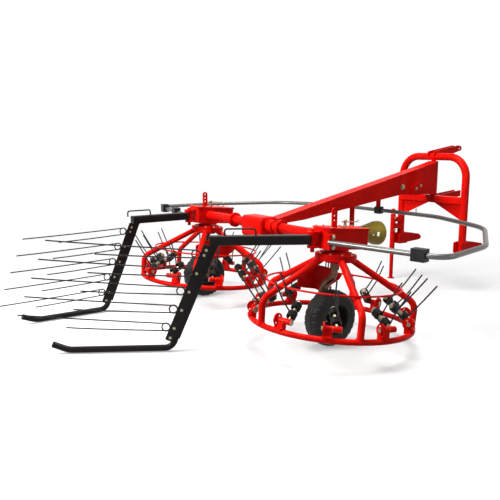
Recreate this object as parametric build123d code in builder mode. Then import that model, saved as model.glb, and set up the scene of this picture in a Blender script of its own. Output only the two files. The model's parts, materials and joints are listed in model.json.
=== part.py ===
"""Two-rotor basket rotary hay rake with a long drawbar, a pivoting three-point headstock and two swath gates.

+X to the machine's right, +Y forwards, +Z up, millimetres. Sizes along Y are measured from the line through
the two wheel axles, on the ground. Each rotor is modelled about its own axle, then placed on a plane that leans
forwards by the rotor's tilt. At the end the finished machine moves along Y, so that its origin lies on the
ground at the middle of its box.
"""

import os
from math import atan, cos, degrees, radians, sin, tan

from build123d import *

os.makedirs("parts", exist_ok=True)

# Stance
rotor_spacing = 1500.0
rotor_tilt = 5.0
running_gap = 0.3
weld_overlap = 20.0

# Wheels
tyre_diameter = 343.0
tyre_width = 126.0
tyre_crown_drop = 9.0
tyre_bead_drop = 34.0
tyre_tread_inset = 30.0
tyre_shoulder_inset = 10.0
tyre_tread_drop = 2.0
tyre_bead_rise = 14.0
rim_diameter = 172.0
rim_thickness = 4.0
rim_width = 92.0
rim_disc_offset = -8.0
wheel_hub_diameter = 58.0
wheel_hub_length = 96.0
axle_diameter = 25.0
axle_end = 14.0
rim_dish_step = 6.0

# Rotor baskets
ring_radius = 485.0
ring_tube = 34.0
ring_height = -16.0
spoke_tube = 40.0
spoke_count = 5
first_spoke = 48.5
left_rotor_turn = -26.5
spoke_bend_height = 134.0
spoke_bend_outset = 5.0
spoke_bend_radius = 70.0
spoke_start_radius = 82.0
spoke_start_height = 372.0
hoop_radius = 402.0
hoop_rod = 12.0
weld_depth = 1.5
basket_disc_diameter = 250.0
basket_disc_thickness = 10.0
basket_disc_height = 384.0
hub_diameter = 128.0
hub_flange_diameter = 190.0
hub_flange_thickness = 11.0
hub_depth = 46.0
hub_cap_height = 4.0

# Tine units on the rotor rings, in a unit's own frame: X outwards, Y round the ring, Z up
unit_angles = (18.5, 51.5)
block_width = 44.0
block_depth = 34.0
block_floor = 4.0
pad_length = 44.0
pad_thickness = 12.0
pivot_x = -10.0
pivot_rise = 62.0
pivot_bolt = 16.0
pivot_head = 26.0
pivot_head_height = 9.0
quadrant_radius = 36.0
quadrant_thickness = 8.0
quadrant_foot = 48.0
quadrant_slot = (20.0, 11.0)
quadrant_slot_reach = 23.0
quadrant_slot_angles = (125.0, -55.0)
eye_diameter = 34.0
eye_length = 50.0
post_tilt = 56.0
post_lag = 15.0
post_bar = 24.0
post_length = 157.0
post_nut = 34.0
post_nut_length = 9.0
coil_diameter = 56.0
coil_starts = (25.0, 93.0)
coil_length = 52.0
coil_clearance = 0.4
clamp_collar = 30.0
collar_clearance = 1.0
tine_wire = 9.0
tine_reach = 250.0
tine_lift = 49.0
tine_elbow = 45.0

# Legs under the rotors
column_diameter = 56.0
leg_tube = 44.0
leg_offset = 95.0
leg_bend_top = 255.0
leg_bend_low = 180.0
leg_bend_radius = 45.0
axle_boss_diameter = 62.0
axle_boss_length = 46.0
shield_offset = 130.0
shield_thickness = 4.0
shield_points = (
    (-152.0, 357.0),
    (-152.0, 440.0),
    (-100.0, 462.0),
    (0.0, 478.0),
    (100.0, 448.0),
    (215.0, 385.0),
    (190.0, 358.0),
    (99.0, 323.0),
    (24.0, 318.0),
)
shield_saddle = (-8.0, 322.0, 40.0, 30.0)

# Gearboxes over the rotors
gearbox_floor = 425.0
gearbox_top = 552.0
gearbox_width = 150.0
gearbox_rear = -140.0
gearbox_front = 198.0
gearbox_corner = 24.0
gearbox_neck_diameter = 150.0
gearbox_neck = 10.0
gearbox_lid = 9.0
gearbox_lid_overhang = 7.0

# Height bars on top of the gearboxes
height_bar_width = 40.0
height_bar_thickness = 10.0
height_bar_rise = 122.0
height_bar_y = 15.0
height_bar_hole = 14.0
height_bar_holes = 3
height_bar_pitch = 27.0
height_bar_seat = 716.0

# Crossbeam and centre gearbox
beam_y = 10.0
beam_z = 662.0
beam_tube = 66.0
flange_diameter = 106.0
flange_thickness = 9.0
flange_gap = 3.0
flange_places = (-310.0, 245.0)
centre_box_width = 240.0
centre_box_rear = -65.0
centre_box_front = 75.0
centre_box_floor = 575.0
centre_box_top = 722.0
centre_box_round = 28.0
centre_neck_diameter = 88.0
centre_neck_length = 60.0

# Drawbar
drawbar_width = 100.0
drawbar_pad = 12.0
drawbar_rear_top = 682.0
drawbar_rear_bottom = 652.0
drawbar_knee_y = 372.0
drawbar_knee_z = 672.0
drawbar_throat_y = 1434.0
drawbar_throat_z = 812.0
drawbar_head_top_y = 1718.0
drawbar_head_top_z = 1039.0
drawbar_nose = (60.0, 14.0)
drawbar_pad_margin = 22.0
drawbar_pad_height = 58.0
sleeve_diameter = 76.0
sleeve_bottom = 792.0
sleeve_top = 1070.0

# Headstock
headstock_y = 1842.0
headstock_half_width = 330.0
headstock_tube = 62.0
headstock_top = 1108.0
headstock_foot = 330.0
headstock_corner = 170.0
crossbar_z = 750.0
crossbar_height = 60.0
crossbar_depth = 60.0
gusset_thickness = 8.0
gusset_foot = 594.0
gusset_overlap = 4.0
gusset_weld_gap = 6.0
gusset_inner = 20.0
pivot_pin = 40.0
link_plate = 10.0
top_link_gap = 52.0
top_link_hole = 19.3
top_link_y = 2142.0
top_link_z = 1177.0
top_link_round = 26.0
top_link_spacer = (60.0, 14.0)
top_link_spacer_share = 0.4
top_link_heel = 46.0
top_link_heel_lean = 6.0
top_link_eye_corner = 8.0
top_link_heel_rise = 8.0
top_link_neck_rise = 44.0
top_link_crest_rise = 56.0
top_link_throat = 20.0
mid_bracket_gap = 56.0
mid_bracket_y = 2187.0
mid_bracket_height = 52.0
mid_bracket_rise = 34.0
mid_bracket_root = (24.0, 30.0)
mid_bracket_slots = (110.0, 190.0)
mid_bracket_slot = (44.0, 16.0)
mid_bracket_block = (40.0, 34.0)
lower_link_y = 2046.0
lower_link_z = 364.0
lower_link_pin = 22.0
lower_link_round = 27.0
lower_link_reach = 44.0
link_plate_heel = 60.0
link_plate_floor = 4.0
link_plate_heel_top = 80.0
link_plate_shoulder = (50.0, 88.0)
link_plate_eye = (6.0, 8.0, 12.0)
link_plate_toe = 20.0
link_base_drop = 10.0
link_base_depth = 100.0
link_base_thickness = 6.0
pin_shank = 20.0
pin_collar = 34.0
pin_collar_length = 8.0
pin_nut_length = 14.0

# Parking stand
stand_x = -330.0
stand_y = 1735.0
stand_tube = 34.0
stand_sleeve = 46.0
stand_sleeve_bottom = 272.0
stand_sleeve_top = 592.0
stand_arm_height = 40.0
stand_arms = (190.0, 250.0)
stand_top = 640.0
stand_foot = 62.0
stand_foot_thickness = 6.0

# Drive line to the front
drive_rear_z = 610.0
drive_front_y = 1186.0
drive_front_z = 503.0
drive_tube = 62.0
housing_diameter = 88.0
housing_length = 140.0
housing_ribs = 10
housing_rib = 7.0
shaft_diameter = 34.9
cone_rear_radius = 52.0
cone_front_radius = 96.0
cone_length = 186.0
cone_wall = 3.0
cone_bore = 28.0
cone_flare = 149.0
cone_mouth_gap = 40.0
housing_rib_start = 63.0
housing_rib_length = 70.0
strut_y = 895.0
strut_tube = 38.0

# Guard rail
rail_tube = 30.0
rail_corners = (
    # outwards from the rotor's axis, Y, Z
    (96.0, -112.0, 656.0),
    (795.0, 20.0, 656.0),
    (710.0, 470.0, 662.0),
    (335.0, 1010.0, 678.0),
    (-190.0, 1192.0, 689.0),
)
rail_bends = (95.0, 300.0, 420.0, 500.0)
rail_clamp = 78.0
rail_clamp_height = 66.0
rail_clamp_depth = 52.0
rail_clamp_shares = (("right", 1, (0.8,)), ("left", -1, (0.35, 0.82)))
rail_foot_size = (50.0, 86.0)
rail_foot_shift = 22.0
rail_foot_reach = 12.0
rail_end_wall = 12.0
rail_end_width = 46.0
rail_hanger_y = 1184.0
rail_hanger_bar = 26.0

# Swath gates
gate_pivot_inset = 15.0
gate_pivot_y = -140.0
gate_pivot_z = 661.0
gates = (
    # side name, side, swing from straight back with +X positive, arm reach, skid length
    ("right", 1, -31.0, 598.0, 590.0),
    ("left", -1, 0.0, 478.0, 490.0),
)
arm_tube = 56.0
barrel_diameter = 50.0
barrel_height = 72.0
lug_thickness = 12.0
lug_width = 62.0
lug_reach = 90.0
gate_pin = 25.0
gate_pin_head = 14.0
gate_pin_tail = 26.0
post_tube = 45.0
post_lean = 22.7
post_foot_z = 92.0
post_setback = 4.0
post_sunk = 20.0
tine_bar_width = 52.0
tine_bar_thickness = 6.0
tine_bar_offset = 32.0
tine_bar_start = 10.0
tine_bar_end_gap = 4.0
skid_tube = 38.0
skid_axis_z = 23.0
skid_heel_radius = 62.0
skid_heel_shift = 37.0
skid_tip_length = 92.0
skid_tip_rise = 36.0
handle_rod = 10.0
handle_start = 330.0
handle_length = 180.0
handle_rise = 38.0
gate_wire = 8.0
loop_diameter = 52.0
loop_gap = 6.0
gate_tine_count = 5
gate_tine_pitch = 117.0
gate_tine_first = 62.0
long_rod = 860.0
long_rod_rise = 8.0
short_rod = 590.0
short_rod_rise = 3.0

# Places worked out from the sizes above
wheel_radius = tyre_diameter / 2
half_spacing = rotor_spacing / 2
rail_points = [(half_spacing + out, y, z) for out, y, z in rail_corners]
rail_points.append((0, *rail_corners[-1][1:]))
sides = (("right", 1), ("left", -1))
drive_slope = (drive_front_z - drive_rear_z) / (drive_front_y - centre_box_front)
pieces = []


def rotor_plane(side):
    """The plane of a rotor: its origin on the wheel axle, its Z up the rotor's leaning axis."""
    lean = radians(rotor_tilt)
    return Plane(origin=(side * half_spacing, 0, wheel_radius), x_dir=(1, 0, 0), z_dir=(0, sin(lean), cos(lean)))


def gate_pivot_x(side):
    """Where a gate's pivot pin stands across the machine: a little inside the rotor's axis."""
    return side * (half_spacing - gate_pivot_inset)


def gate_plane(side, swing):
    """The plane of a gate: its origin below the pivot pin, its -Y along the arm."""
    turn = radians(swing)
    origin = (gate_pivot_x(side), gate_pivot_y, 0)
    return Plane(origin=origin, x_dir=(cos(turn), sin(turn), 0), z_dir=(0, 0, 1))


def bar(points, bends, radius):
    """Add a round bar or tube that follows straight runs joined by arcs."""
    with BuildLine() as path:
        if bends:
            FilletPolyline(*points, radius=bends)
        else:
            Polyline(*points)
    with BuildSketch(Plane(origin=path.line @ 0, z_dir=path.line % 0)) as section:
        Circle(radius)
    sweep(section.sketch, path=path.line)


def square_bar(start, end, across, width, height):
    """Add a straight bar of rectangular section, its width measured along the direction across."""
    run = Vector(*end) - Vector(*start)
    with BuildSketch(Plane(origin=start, x_dir=across, z_dir=run)) as section:
        Rectangle(width, height)
    extrude(section.sketch, amount=run.length)


def drilled_plate(plane, corners, thickness, holes):
    """Add a flat plate, extruded both ways from its plane, with holes given as (x, y, radius)."""
    with BuildSketch(plane) as outline:
        with BuildLine():
            Polyline(*corners, close=True)
        make_face()
        for hole_x, hole_y, hole_radius in holes:
            with Locations((hole_x, hole_y)):
                Circle(hole_radius, mode=Mode.SUBTRACT)
    extrude(outline.sketch, amount=thickness / 2, both=True)


def finish(name, piece):
    """Label a finished piece and keep it for the machine."""
    piece.label = name
    pieces.append(piece)


# Wheels, modelled about their own axle along X, outer face towards +X
rim_radius = rim_diameter / 2
half_tyre = tyre_width / 2
sidewall_top = (half_tyre, wheel_radius - tyre_bead_drop)
shoulder = (half_tyre - tyre_shoulder_inset, wheel_radius - tyre_crown_drop)
tread_edge = (half_tyre - tyre_tread_inset, wheel_radius - tyre_tread_drop)
with BuildPart() as tyre_model:
    with BuildSketch(Plane.XY):
        with BuildLine():
            Line((0, rim_radius), (half_tyre - tyre_shoulder_inset, rim_radius))
            Line((half_tyre - tyre_shoulder_inset, rim_radius), (half_tyre, rim_radius + tyre_bead_rise))
            Line((half_tyre, rim_radius + tyre_bead_rise), sidewall_top)
            ThreePointArc(sidewall_top, shoulder, tread_edge)
            ThreePointArc(tread_edge, (0, wheel_radius), (-tread_edge[0], tread_edge[1]))
            ThreePointArc((-tread_edge[0], tread_edge[1]), (-shoulder[0], shoulder[1]), (-half_tyre, sidewall_top[1]))
            Line((-half_tyre, sidewall_top[1]), (-half_tyre, rim_radius + tyre_bead_rise))
            Line((-half_tyre, rim_radius + tyre_bead_rise), (-half_tyre + tyre_shoulder_inset, rim_radius))
            Line((-half_tyre + tyre_shoulder_inset, rim_radius), (0, rim_radius))
        make_face()
    revolve(axis=Axis.X)

half_rim = rim_width / 2
rim_outer = rim_radius - running_gap
rim_inner = rim_outer - rim_thickness
axle_hole = axle_diameter / 2 + running_gap
with BuildPart() as rim_model:
    with BuildSketch(Plane.XY):
        with BuildLine():
            Polyline(
                (-half_rim, rim_outer),
                (-half_rim, rim_inner),
                (rim_disc_offset - rim_thickness, rim_inner - rim_dish_step),
                (rim_disc_offset - rim_thickness, axle_hole),
                (rim_disc_offset, axle_hole),
                (rim_disc_offset, rim_inner - rim_dish_step),
                (half_rim, rim_inner),
                (half_rim, rim_outer),
                close=True,
            )
        make_face()
    revolve(axis=Axis.X)
    with BuildSketch(Plane.YZ.offset(-wheel_hub_length / 2)):
        Circle(wheel_hub_diameter / 2)
        Circle(axle_hole, mode=Mode.SUBTRACT)
    extrude(amount=wheel_hub_length)

# Rotor hub: a bolted flange on the basket's disc, and a barrel down through it
hub_floor = basket_disc_height - hub_depth
disc_top = basket_disc_height + basket_disc_thickness
with BuildPart() as hub_model:
    with BuildSketch(Plane.XY.offset(hub_floor)):
        Circle(hub_diameter / 2 - running_gap)
    extrude(amount=disc_top - hub_floor)
    with BuildSketch(Plane.XY.offset(disc_top)):
        Circle(hub_flange_diameter / 2)
    extrude(amount=hub_flange_thickness)
    with BuildSketch(Plane.XY.offset(disc_top + hub_flange_thickness)):
        Circle(gearbox_neck_diameter / 2)
    extrude(amount=hub_cap_height)
    with BuildSketch(Plane.XY.offset(hub_floor)):
        Circle(column_diameter / 2 + running_gap)
    extrude(amount=2 * hub_depth + hub_flange_thickness, mode=Mode.SUBTRACT)

# Rotor basket: ring, bent spokes, thin hoop and top disc, welded into one
spoke_bend_at = ring_radius + spoke_bend_outset
spoke_fall = (spoke_start_height - spoke_bend_height) / (spoke_bend_at - spoke_start_radius)
spoke_lift = (spoke_tube + hoop_rod) / 2 - weld_depth
hoop_height = (
    spoke_start_height
    - spoke_fall * (hoop_radius - spoke_start_radius)
    + spoke_lift * (1 + spoke_fall**2) ** 0.5
)
with BuildPart() as spoke_model:
    bar(
        (
            (spoke_start_radius, 0, spoke_start_height),
            (spoke_bend_at, 0, spoke_bend_height),
            (ring_radius, 0, ring_height),
        ),
        spoke_bend_radius,
        spoke_tube / 2,
    )
with BuildPart() as basket_model:
    with BuildSketch(Plane.XZ):
        with Locations((ring_radius, ring_height)):
            Circle(ring_tube / 2)
        with Locations((hoop_radius, hoop_height)):
            Circle(hoop_rod / 2)
    revolve(axis=Axis.Z)
    with PolarLocations(0, spoke_count, start_angle=first_spoke):
        add(spoke_model.part)
    with BuildSketch(Plane.XY.offset(basket_disc_height)):
        Circle(basket_disc_diameter / 2)
        Circle(hub_diameter / 2, mode=Mode.SUBTRACT)
    extrude(amount=basket_disc_thickness)

# Tine unit bracket: a block on the ring, and the quadrant plate whose slots set the post's slope
block_face = block_width / 2
pivot_axis = Plane(origin=(pivot_x, 0, 0), x_dir=(1, 0, 0), z_dir=(0, -1, 0))
with BuildPart() as bracket_model:
    with BuildSketch(pivot_axis):
        with Locations((0, pivot_rise)):
            Circle(block_depth / 2)
        with Locations((0, block_floor)):
            Rectangle(block_depth, pivot_rise - block_floor, align=(Align.CENTER, Align.MIN))
    extrude(amount=block_face, both=True)
    with BuildSketch(pivot_axis.offset(block_face)):
        with Locations((0, pivot_rise)):
            Circle(quadrant_radius)
        with Locations((0, block_floor)):
            Rectangle(quadrant_foot, pivot_rise - block_floor, align=(Align.CENTER, Align.MIN))
        for angle in quadrant_slot_angles:
            slot_x = quadrant_slot_reach * cos(radians(angle))
            slot_z = pivot_rise + quadrant_slot_reach * sin(radians(angle))
            with Locations((slot_x, slot_z)):
                SlotOverall(*quadrant_slot, rotation=angle + 90, mode=Mode.SUBTRACT)
    extrude(amount=quadrant_thickness)
    with Locations((0, 0, ring_tube / 2)):
        Box(pad_length, block_width, pad_thickness)
    with BuildSketch(pivot_axis):
        with Locations((0, pivot_rise)):
            Circle(pivot_bolt / 2 + running_gap)
    extrude(amount=block_width, both=True, mode=Mode.SUBTRACT)

# Tine post: the pivot bolt, its eye beside the block, and the bar that carries the springs, leaning inwards
tilt, lag = radians(post_tilt), radians(post_lag)
post_way = Vector(-sin(tilt) * cos(lag), -sin(tilt) * sin(lag), cos(tilt))
eye_start = block_face + running_gap
post_base = (pivot_x, eye_start + eye_length / 2, pivot_rise)
outwards = Vector(1, 0, 0) - post_way * post_way.X
post_plane = Plane(origin=post_base, x_dir=outwards, z_dir=post_way)
head_start = block_face + quadrant_thickness + running_gap
collar_start = coil_starts[0] + coil_length + collar_clearance
with BuildPart() as carrier_model:
    with BuildSketch(pivot_axis.offset(-eye_start)):
        with Locations((0, pivot_rise)):
            Circle(eye_diameter / 2)
    extrude(amount=-eye_length)
    with BuildSketch(pivot_axis.offset(-eye_start)):
        with Locations((0, pivot_rise)):
            Circle(pivot_bolt / 2)
    extrude(amount=eye_start + head_start)
    with BuildSketch(pivot_axis.offset(head_start)):
        with Locations((0, pivot_rise)):
            RegularPolygon(pivot_head / 2, 6)
    extrude(amount=pivot_head_height)
    with BuildSketch(post_plane):
        Circle(post_bar / 2)
    extrude(amount=post_length)
    with BuildSketch(post_plane.offset(collar_start)):
        Circle(clamp_collar / 2)
    extrude(amount=coil_starts[1] - collar_clearance - collar_start)
    with BuildSketch(post_plane.offset(coil_starts[1] + coil_length + collar_clearance)):
        RegularPolygon(post_nut / 2, 6)
    extrude(amount=post_nut_length)

# Double spring of a tine unit: two coils on the post, the wire between them, and a bent tine from each
wire_turn_radius = coil_diameter / 2 - tine_wire / 2 - weld_depth
with BuildPart() as coil_pair:
    for coil_start in coil_starts:
        with BuildSketch(Plane.XY.offset(coil_start)):
            Circle(coil_diameter / 2)
            Circle(post_bar / 2 + coil_clearance, mode=Mode.SUBTRACT)
        extrude(amount=coil_length)
        wire_z = coil_start + tine_wire
        with BuildLine() as path:
            Polyline(
                (0, wire_turn_radius, wire_z),
                (tine_elbow, wire_turn_radius, wire_z),
                (tine_reach, wire_turn_radius + tine_lift, wire_z),
            )
        with BuildSketch(Plane(origin=path.line @ 0, z_dir=path.line % 0)):
            RegularPolygon(tine_wire / 2, 6)
        sweep(transition=Transition.RIGHT)
    with BuildSketch(Plane.XY.offset(coil_starts[0] + coil_length - tine_wire)):
        with Locations((0, -wire_turn_radius)):
            RegularPolygon(tine_wire / 2, 6)
    extrude(amount=coil_starts[1] - coil_starts[0] - coil_length + 2 * tine_wire)
with BuildPart(post_plane) as spring_model:
    add(coil_pair.part)

spoke_pitch = 360 / spoke_count
unit_places = [
    Location(
        (
            ring_radius * cos(radians(first_spoke + step * spoke_pitch + angle)),
            ring_radius * sin(radians(first_spoke + step * spoke_pitch + angle)),
            ring_height,
        ),
        (0, 0, first_spoke + step * spoke_pitch + angle),
    )
    for step in range(spoke_count)
    for angle in unit_angles
]

rotor_models = (("hub", hub_model), ("basket", basket_model))
unit_models = (
    ("brackets", bracket_model),
    ("carriers", carrier_model),
    ("tines", spring_model),
)
rotor_sets = {}
for kind, model in rotor_models:
    rotor_sets[kind] = model.part
for kind, model in unit_models:
    with BuildPart() as unit_set:
        with Locations(*unit_places):
            add(model.part)
    rotor_sets[kind] = unit_set.part
with BuildPart() as bracket_set:
    add(rotor_sets["brackets"])
    add(rotor_sets["basket"], mode=Mode.SUBTRACT)
rotor_sets["brackets"] = bracket_set.part

for side_name, side in sides:
    for kind, piece in rotor_sets.items():
        if side < 0:
            piece = piece.mirror(Plane.YZ).rotate(Axis.Z, left_rotor_turn)
        with BuildPart(rotor_plane(side)) as placed:
            add(piece)
        finish(f"rotor_{side_name}_{kind}", placed.part)
    for kind, model in (("tyre", tyre_model), ("rim", rim_model)):
        piece = model.part if side > 0 else model.part.mirror(Plane.YZ)
        with BuildPart(Plane(origin=(side * half_spacing, 0, wheel_radius))) as placed:
            add(piece)
        finish(f"wheel_{side_name}_{kind}", placed.part)

# Legs: a fixed column down through the hub, an S-bend beside the tyre and the stub axle. A sheet shield on
# the leg, inside the spokes, keeps the hay off it
for side_name, side in sides:
    leg_x = -side * leg_offset
    column_foot = leg_bend_top + leg_bend_radius
    with BuildPart() as leg_model:
        with BuildSketch(Plane.XY.offset(column_foot)):
            Circle(column_diameter / 2)
        extrude(amount=gearbox_floor - gearbox_neck - column_foot)
        bar(
            ((0, 0, column_foot), (0, 0, leg_bend_top), (leg_x, 0, leg_bend_low), (leg_x, 0, 0)),
            leg_bend_radius,
            leg_tube / 2,
        )
        with BuildSketch(Plane.YZ.offset(leg_x - axle_boss_length / 2)):
            Circle(axle_boss_diameter / 2)
        extrude(amount=axle_boss_length)
        with BuildSketch(Plane.YZ.offset(leg_x)):
            Circle(axle_diameter / 2)
        extrude(amount=side * (leg_offset + wheel_hub_length / 2 + axle_end))
    with BuildPart(rotor_plane(side)) as leg:
        add(leg_model.part)
    finish(f"leg_{side_name}", leg.part)

    shield_face = side * (half_spacing - shield_offset)
    with BuildPart() as shield:
        with BuildSketch(Plane.YZ.offset(shield_face)):
            with BuildLine():
                Polyline(*shield_points, close=True)
            make_face()
        extrude(amount=-side * shield_thickness)
        saddle_y, saddle_z, saddle_width, saddle_height = shield_saddle
        with BuildSketch(Plane.YZ.offset(shield_face)):
            with Locations((saddle_y, saddle_z)):
                Rectangle(saddle_width, saddle_height, align=(Align.MIN, Align.MIN))
        extrude(amount=side * (shield_offset - leg_offset))
        add(leg.part, mode=Mode.SUBTRACT)
    finish(f"shield_{side_name}", shield.part)

# Side gearboxes: a welded box on a neck, a lid plate, and two lugs with the gate's pivot pin behind
with BuildPart() as gearbox_model:
    with BuildSketch(Plane.XY.offset(gearbox_floor)):
        with Locations((0, (gearbox_rear + gearbox_front) / 2)):
            RectangleRounded(gearbox_width, gearbox_front - gearbox_rear, gearbox_corner)
    extrude(amount=gearbox_top - gearbox_lid - gearbox_floor)
    with BuildSketch(Plane.XY.offset(gearbox_top - gearbox_lid)):
        with Locations((0, (gearbox_rear + gearbox_front) / 2)):
            RectangleRounded(
                gearbox_width + 2 * gearbox_lid_overhang,
                gearbox_front - gearbox_rear + 2 * gearbox_lid_overhang,
                gearbox_corner + gearbox_lid_overhang,
            )
    extrude(amount=gearbox_lid)
    with BuildSketch(Plane.XY.offset(gearbox_floor - gearbox_neck)):
        Circle(gearbox_neck_diameter / 2)
    extrude(amount=gearbox_neck)

barrel_floor = gate_pivot_z - barrel_height / 2
barrel_top = gate_pivot_z + barrel_height / 2
for side_name, side in sides:
    pivot_x = gate_pivot_x(side)
    with BuildPart(rotor_plane(side)) as box:
        add(gearbox_model.part)
    with BuildPart() as gearbox:
        add(box.part)
        for lug_floor in (barrel_floor - lug_thickness - running_gap, barrel_top + running_gap):
            with BuildSketch(Plane.XY.offset(lug_floor)):
                with Locations((pivot_x, gate_pivot_y)):
                    Circle(lug_width / 2)
                    Rectangle(lug_width, lug_reach, align=(Align.CENTER, Align.MIN))
            extrude(amount=lug_thickness)
        with BuildSketch(Plane.XY.offset(barrel_floor - lug_thickness - gate_pin_tail)):
            with Locations((pivot_x, gate_pivot_y)):
                Circle(gate_pin / 2)
        extrude(amount=barrel_height + 2 * lug_thickness + gate_pin_tail + gate_pin_head)
    finish(f"gearbox_{side_name}", gearbox.part)

    with BuildPart() as height_bar:
        with BuildSketch(Plane.YZ.offset(side * half_spacing - height_bar_thickness / 2)):
            with Locations((height_bar_y, height_bar_seat)):
                Rectangle(height_bar_width, height_bar_rise - height_bar_width / 2, align=(Align.CENTER, Align.MIN))
            top_hole = height_bar_seat + height_bar_rise - height_bar_width / 2
            with Locations((height_bar_y, top_hole)):
                Circle(height_bar_width / 2)
            for step in range(height_bar_holes):
                with Locations((height_bar_y, top_hole - step * height_bar_pitch)):
                    Circle(height_bar_hole / 2, mode=Mode.SUBTRACT)
        extrude(amount=height_bar_thickness)
        add(gearbox.part, mode=Mode.SUBTRACT)
    finish(f"height_bar_{side_name}", height_bar.part)

# Crossbeam: the centre gearbox and the two flanged tubes out to the side gearboxes
with BuildPart() as centre_gearbox:
    with BuildSketch(Plane.XY.offset(centre_box_floor)):
        with Locations((0, (centre_box_rear + centre_box_front) / 2)):
            Rectangle(centre_box_width, centre_box_front - centre_box_rear)
    extrude(amount=centre_box_top - centre_box_floor)
    fillet(centre_gearbox.edges().filter_by(Axis.X), centre_box_round)
    fillet(centre_gearbox.edges().filter_by(Axis.Z), centre_box_round / 2)
    with BuildSketch(Plane.YZ.offset(-centre_box_width / 2 - centre_neck_length)):
        with Locations((beam_y, beam_z)):
            Circle(centre_neck_diameter / 2)
    extrude(amount=centre_box_width + 2 * centre_neck_length)
    with BuildSketch(Plane.XZ.offset(-centre_box_front + centre_box_round)):
        with Locations((0, drive_rear_z)):
            Circle(drive_tube / 2)
    extrude(amount=-centre_box_round)
finish("centre_gearbox", centre_gearbox.part)

neck_end = centre_box_width / 2 + centre_neck_length
gearbox_face = half_spacing - gearbox_width / 2
for side_name, side in sides:
    with BuildPart() as beam_half:
        with BuildSketch(Plane.YZ.offset(side * neck_end)):
            with Locations((beam_y, beam_z)):
                Circle(beam_tube / 2)
        extrude(amount=side * (gearbox_face - neck_end))
        for place in flange_places:
            if place * side > 0:
                for shift in (-1, 1):
                    start = place + shift * flange_gap / 2
                    with BuildSketch(Plane.YZ.offset(start)):
                        with Locations((beam_y, beam_z)):
                            Circle(flange_diameter / 2)
                    extrude(amount=shift * flange_thickness)
    finish(f"crossbeam_{side_name}", beam_half.part)

# Drawbar: a tapered box from the centre gearbox to the swivel sleeve
with BuildPart() as drawbar:
    with BuildSketch(Plane.YZ.offset(-drawbar_width / 2)):
        with BuildLine():
            Polyline(
                (centre_box_front, drawbar_rear_top),
                (drawbar_head_top_y, drawbar_head_top_z),
                (headstock_y, sleeve_top),
                (headstock_y, sleeve_bottom),
                (drawbar_throat_y + drawbar_nose[0], drawbar_throat_z - drawbar_nose[1]),
                (drawbar_throat_y, drawbar_throat_z),
                (drawbar_knee_y, drawbar_knee_z),
                (centre_box_front, drawbar_rear_bottom),
                close=True,
            )
        make_face()
    extrude(amount=drawbar_width)
    with BuildSketch(Plane.XZ.offset(-centre_box_front)):
        with Locations((0, drawbar_rear_bottom)):
            Rectangle(drawbar_width + 2 * drawbar_pad_margin, drawbar_pad_height, align=(Align.CENTER, Align.MIN))
    extrude(amount=-drawbar_pad)
    with BuildSketch(Plane.XY.offset(sleeve_bottom)):
        with Locations((0, headstock_y)):
            Circle(sleeve_diameter / 2)
    extrude(amount=sleeve_top - sleeve_bottom)
    with BuildSketch(Plane.XY.offset(sleeve_bottom)):
        with Locations((0, headstock_y)):
            Circle(pivot_pin / 2 + running_gap)
    extrude(amount=sleeve_top - sleeve_bottom, mode=Mode.SUBTRACT)
finish("drawbar", drawbar.part)


def drawbar_floor(y):
    """Height of the drawbar's underside at a place between its knee and its throat."""
    rise = (drawbar_throat_z - drawbar_knee_z) / (drawbar_throat_y - drawbar_knee_y)
    return drawbar_knee_z + rise * (y - drawbar_knee_y)


# Headstock: a hoop with a crossbar, gussets and the swivel pin
with BuildPart() as headstock:
    bar(
        (
            (-headstock_half_width, headstock_y, headstock_foot),
            (-headstock_half_width, headstock_y, headstock_top),
            (headstock_half_width, headstock_y, headstock_top),
            (headstock_half_width, headstock_y, headstock_foot),
        ),
        headstock_corner,
        headstock_tube / 2,
    )
    with BuildSketch(Plane.YZ.offset(-headstock_half_width)):
        with Locations((headstock_y, crossbar_z)):
            Rectangle(crossbar_depth, crossbar_height)
    extrude(amount=2 * headstock_half_width)
    crossbar_floor = crossbar_z - crossbar_height / 2
    for _, side in sides:
        leg_face = side * headstock_half_width
        with BuildSketch(Plane.XZ.offset(-headstock_y - gusset_thickness / 2)):
            with BuildLine():
                Polyline(
                    (leg_face, crossbar_floor + gusset_overlap),
                    (leg_face, gusset_foot),
                    (side * (headstock_half_width - headstock_tube / 2 - gusset_weld_gap), gusset_foot),
                    (side * gusset_inner, crossbar_floor + gusset_overlap),
                    close=True,
                )
            make_face()
        extrude(amount=gusset_thickness)
    with BuildSketch(Plane.XY.offset(crossbar_z)):
        with Locations((0, headstock_y)):
            Circle(pivot_pin / 2)
    extrude(amount=headstock_top - crossbar_z)
finish("headstock_frame", headstock.part)

# Plates on the headstock: top link, middle bracket and lower links
eye_cut = top_link_round - top_link_eye_corner
with BuildPart() as top_link:
    for _, side in sides:
        drilled_plate(
            Plane.YZ.offset(side * (top_link_gap + link_plate) / 2),
            (
                (headstock_y - top_link_heel, headstock_top + top_link_heel_rise),
                (headstock_y - top_link_heel + top_link_heel_lean, headstock_top + top_link_neck_rise),
                (headstock_y + headstock_tube / 2, headstock_top + top_link_crest_rise),
                (top_link_y - eye_cut, top_link_z + top_link_round),
                (top_link_y + eye_cut, top_link_z + eye_cut),
                (top_link_y + top_link_round, top_link_z),
                (top_link_y + eye_cut, top_link_z - eye_cut),
                (top_link_y - eye_cut, top_link_z - top_link_round),
                (headstock_y + 2 * top_link_throat, headstock_top - top_link_throat),
            ),
            link_plate,
            ((top_link_y, top_link_z, top_link_hole / 2),),
        )
    spacer_y = headstock_y + top_link_spacer_share * (top_link_y - headstock_y)
    spacer_z = headstock_top + top_link_spacer_share * (top_link_z - headstock_top)
    with BuildSketch(Plane.YZ.offset(-top_link_gap / 2)):
        with Locations((spacer_y, spacer_z + top_link_throat / 2)):
            Rectangle(*top_link_spacer)
    extrude(amount=top_link_gap)
    add(headstock.part, mode=Mode.SUBTRACT)
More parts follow.
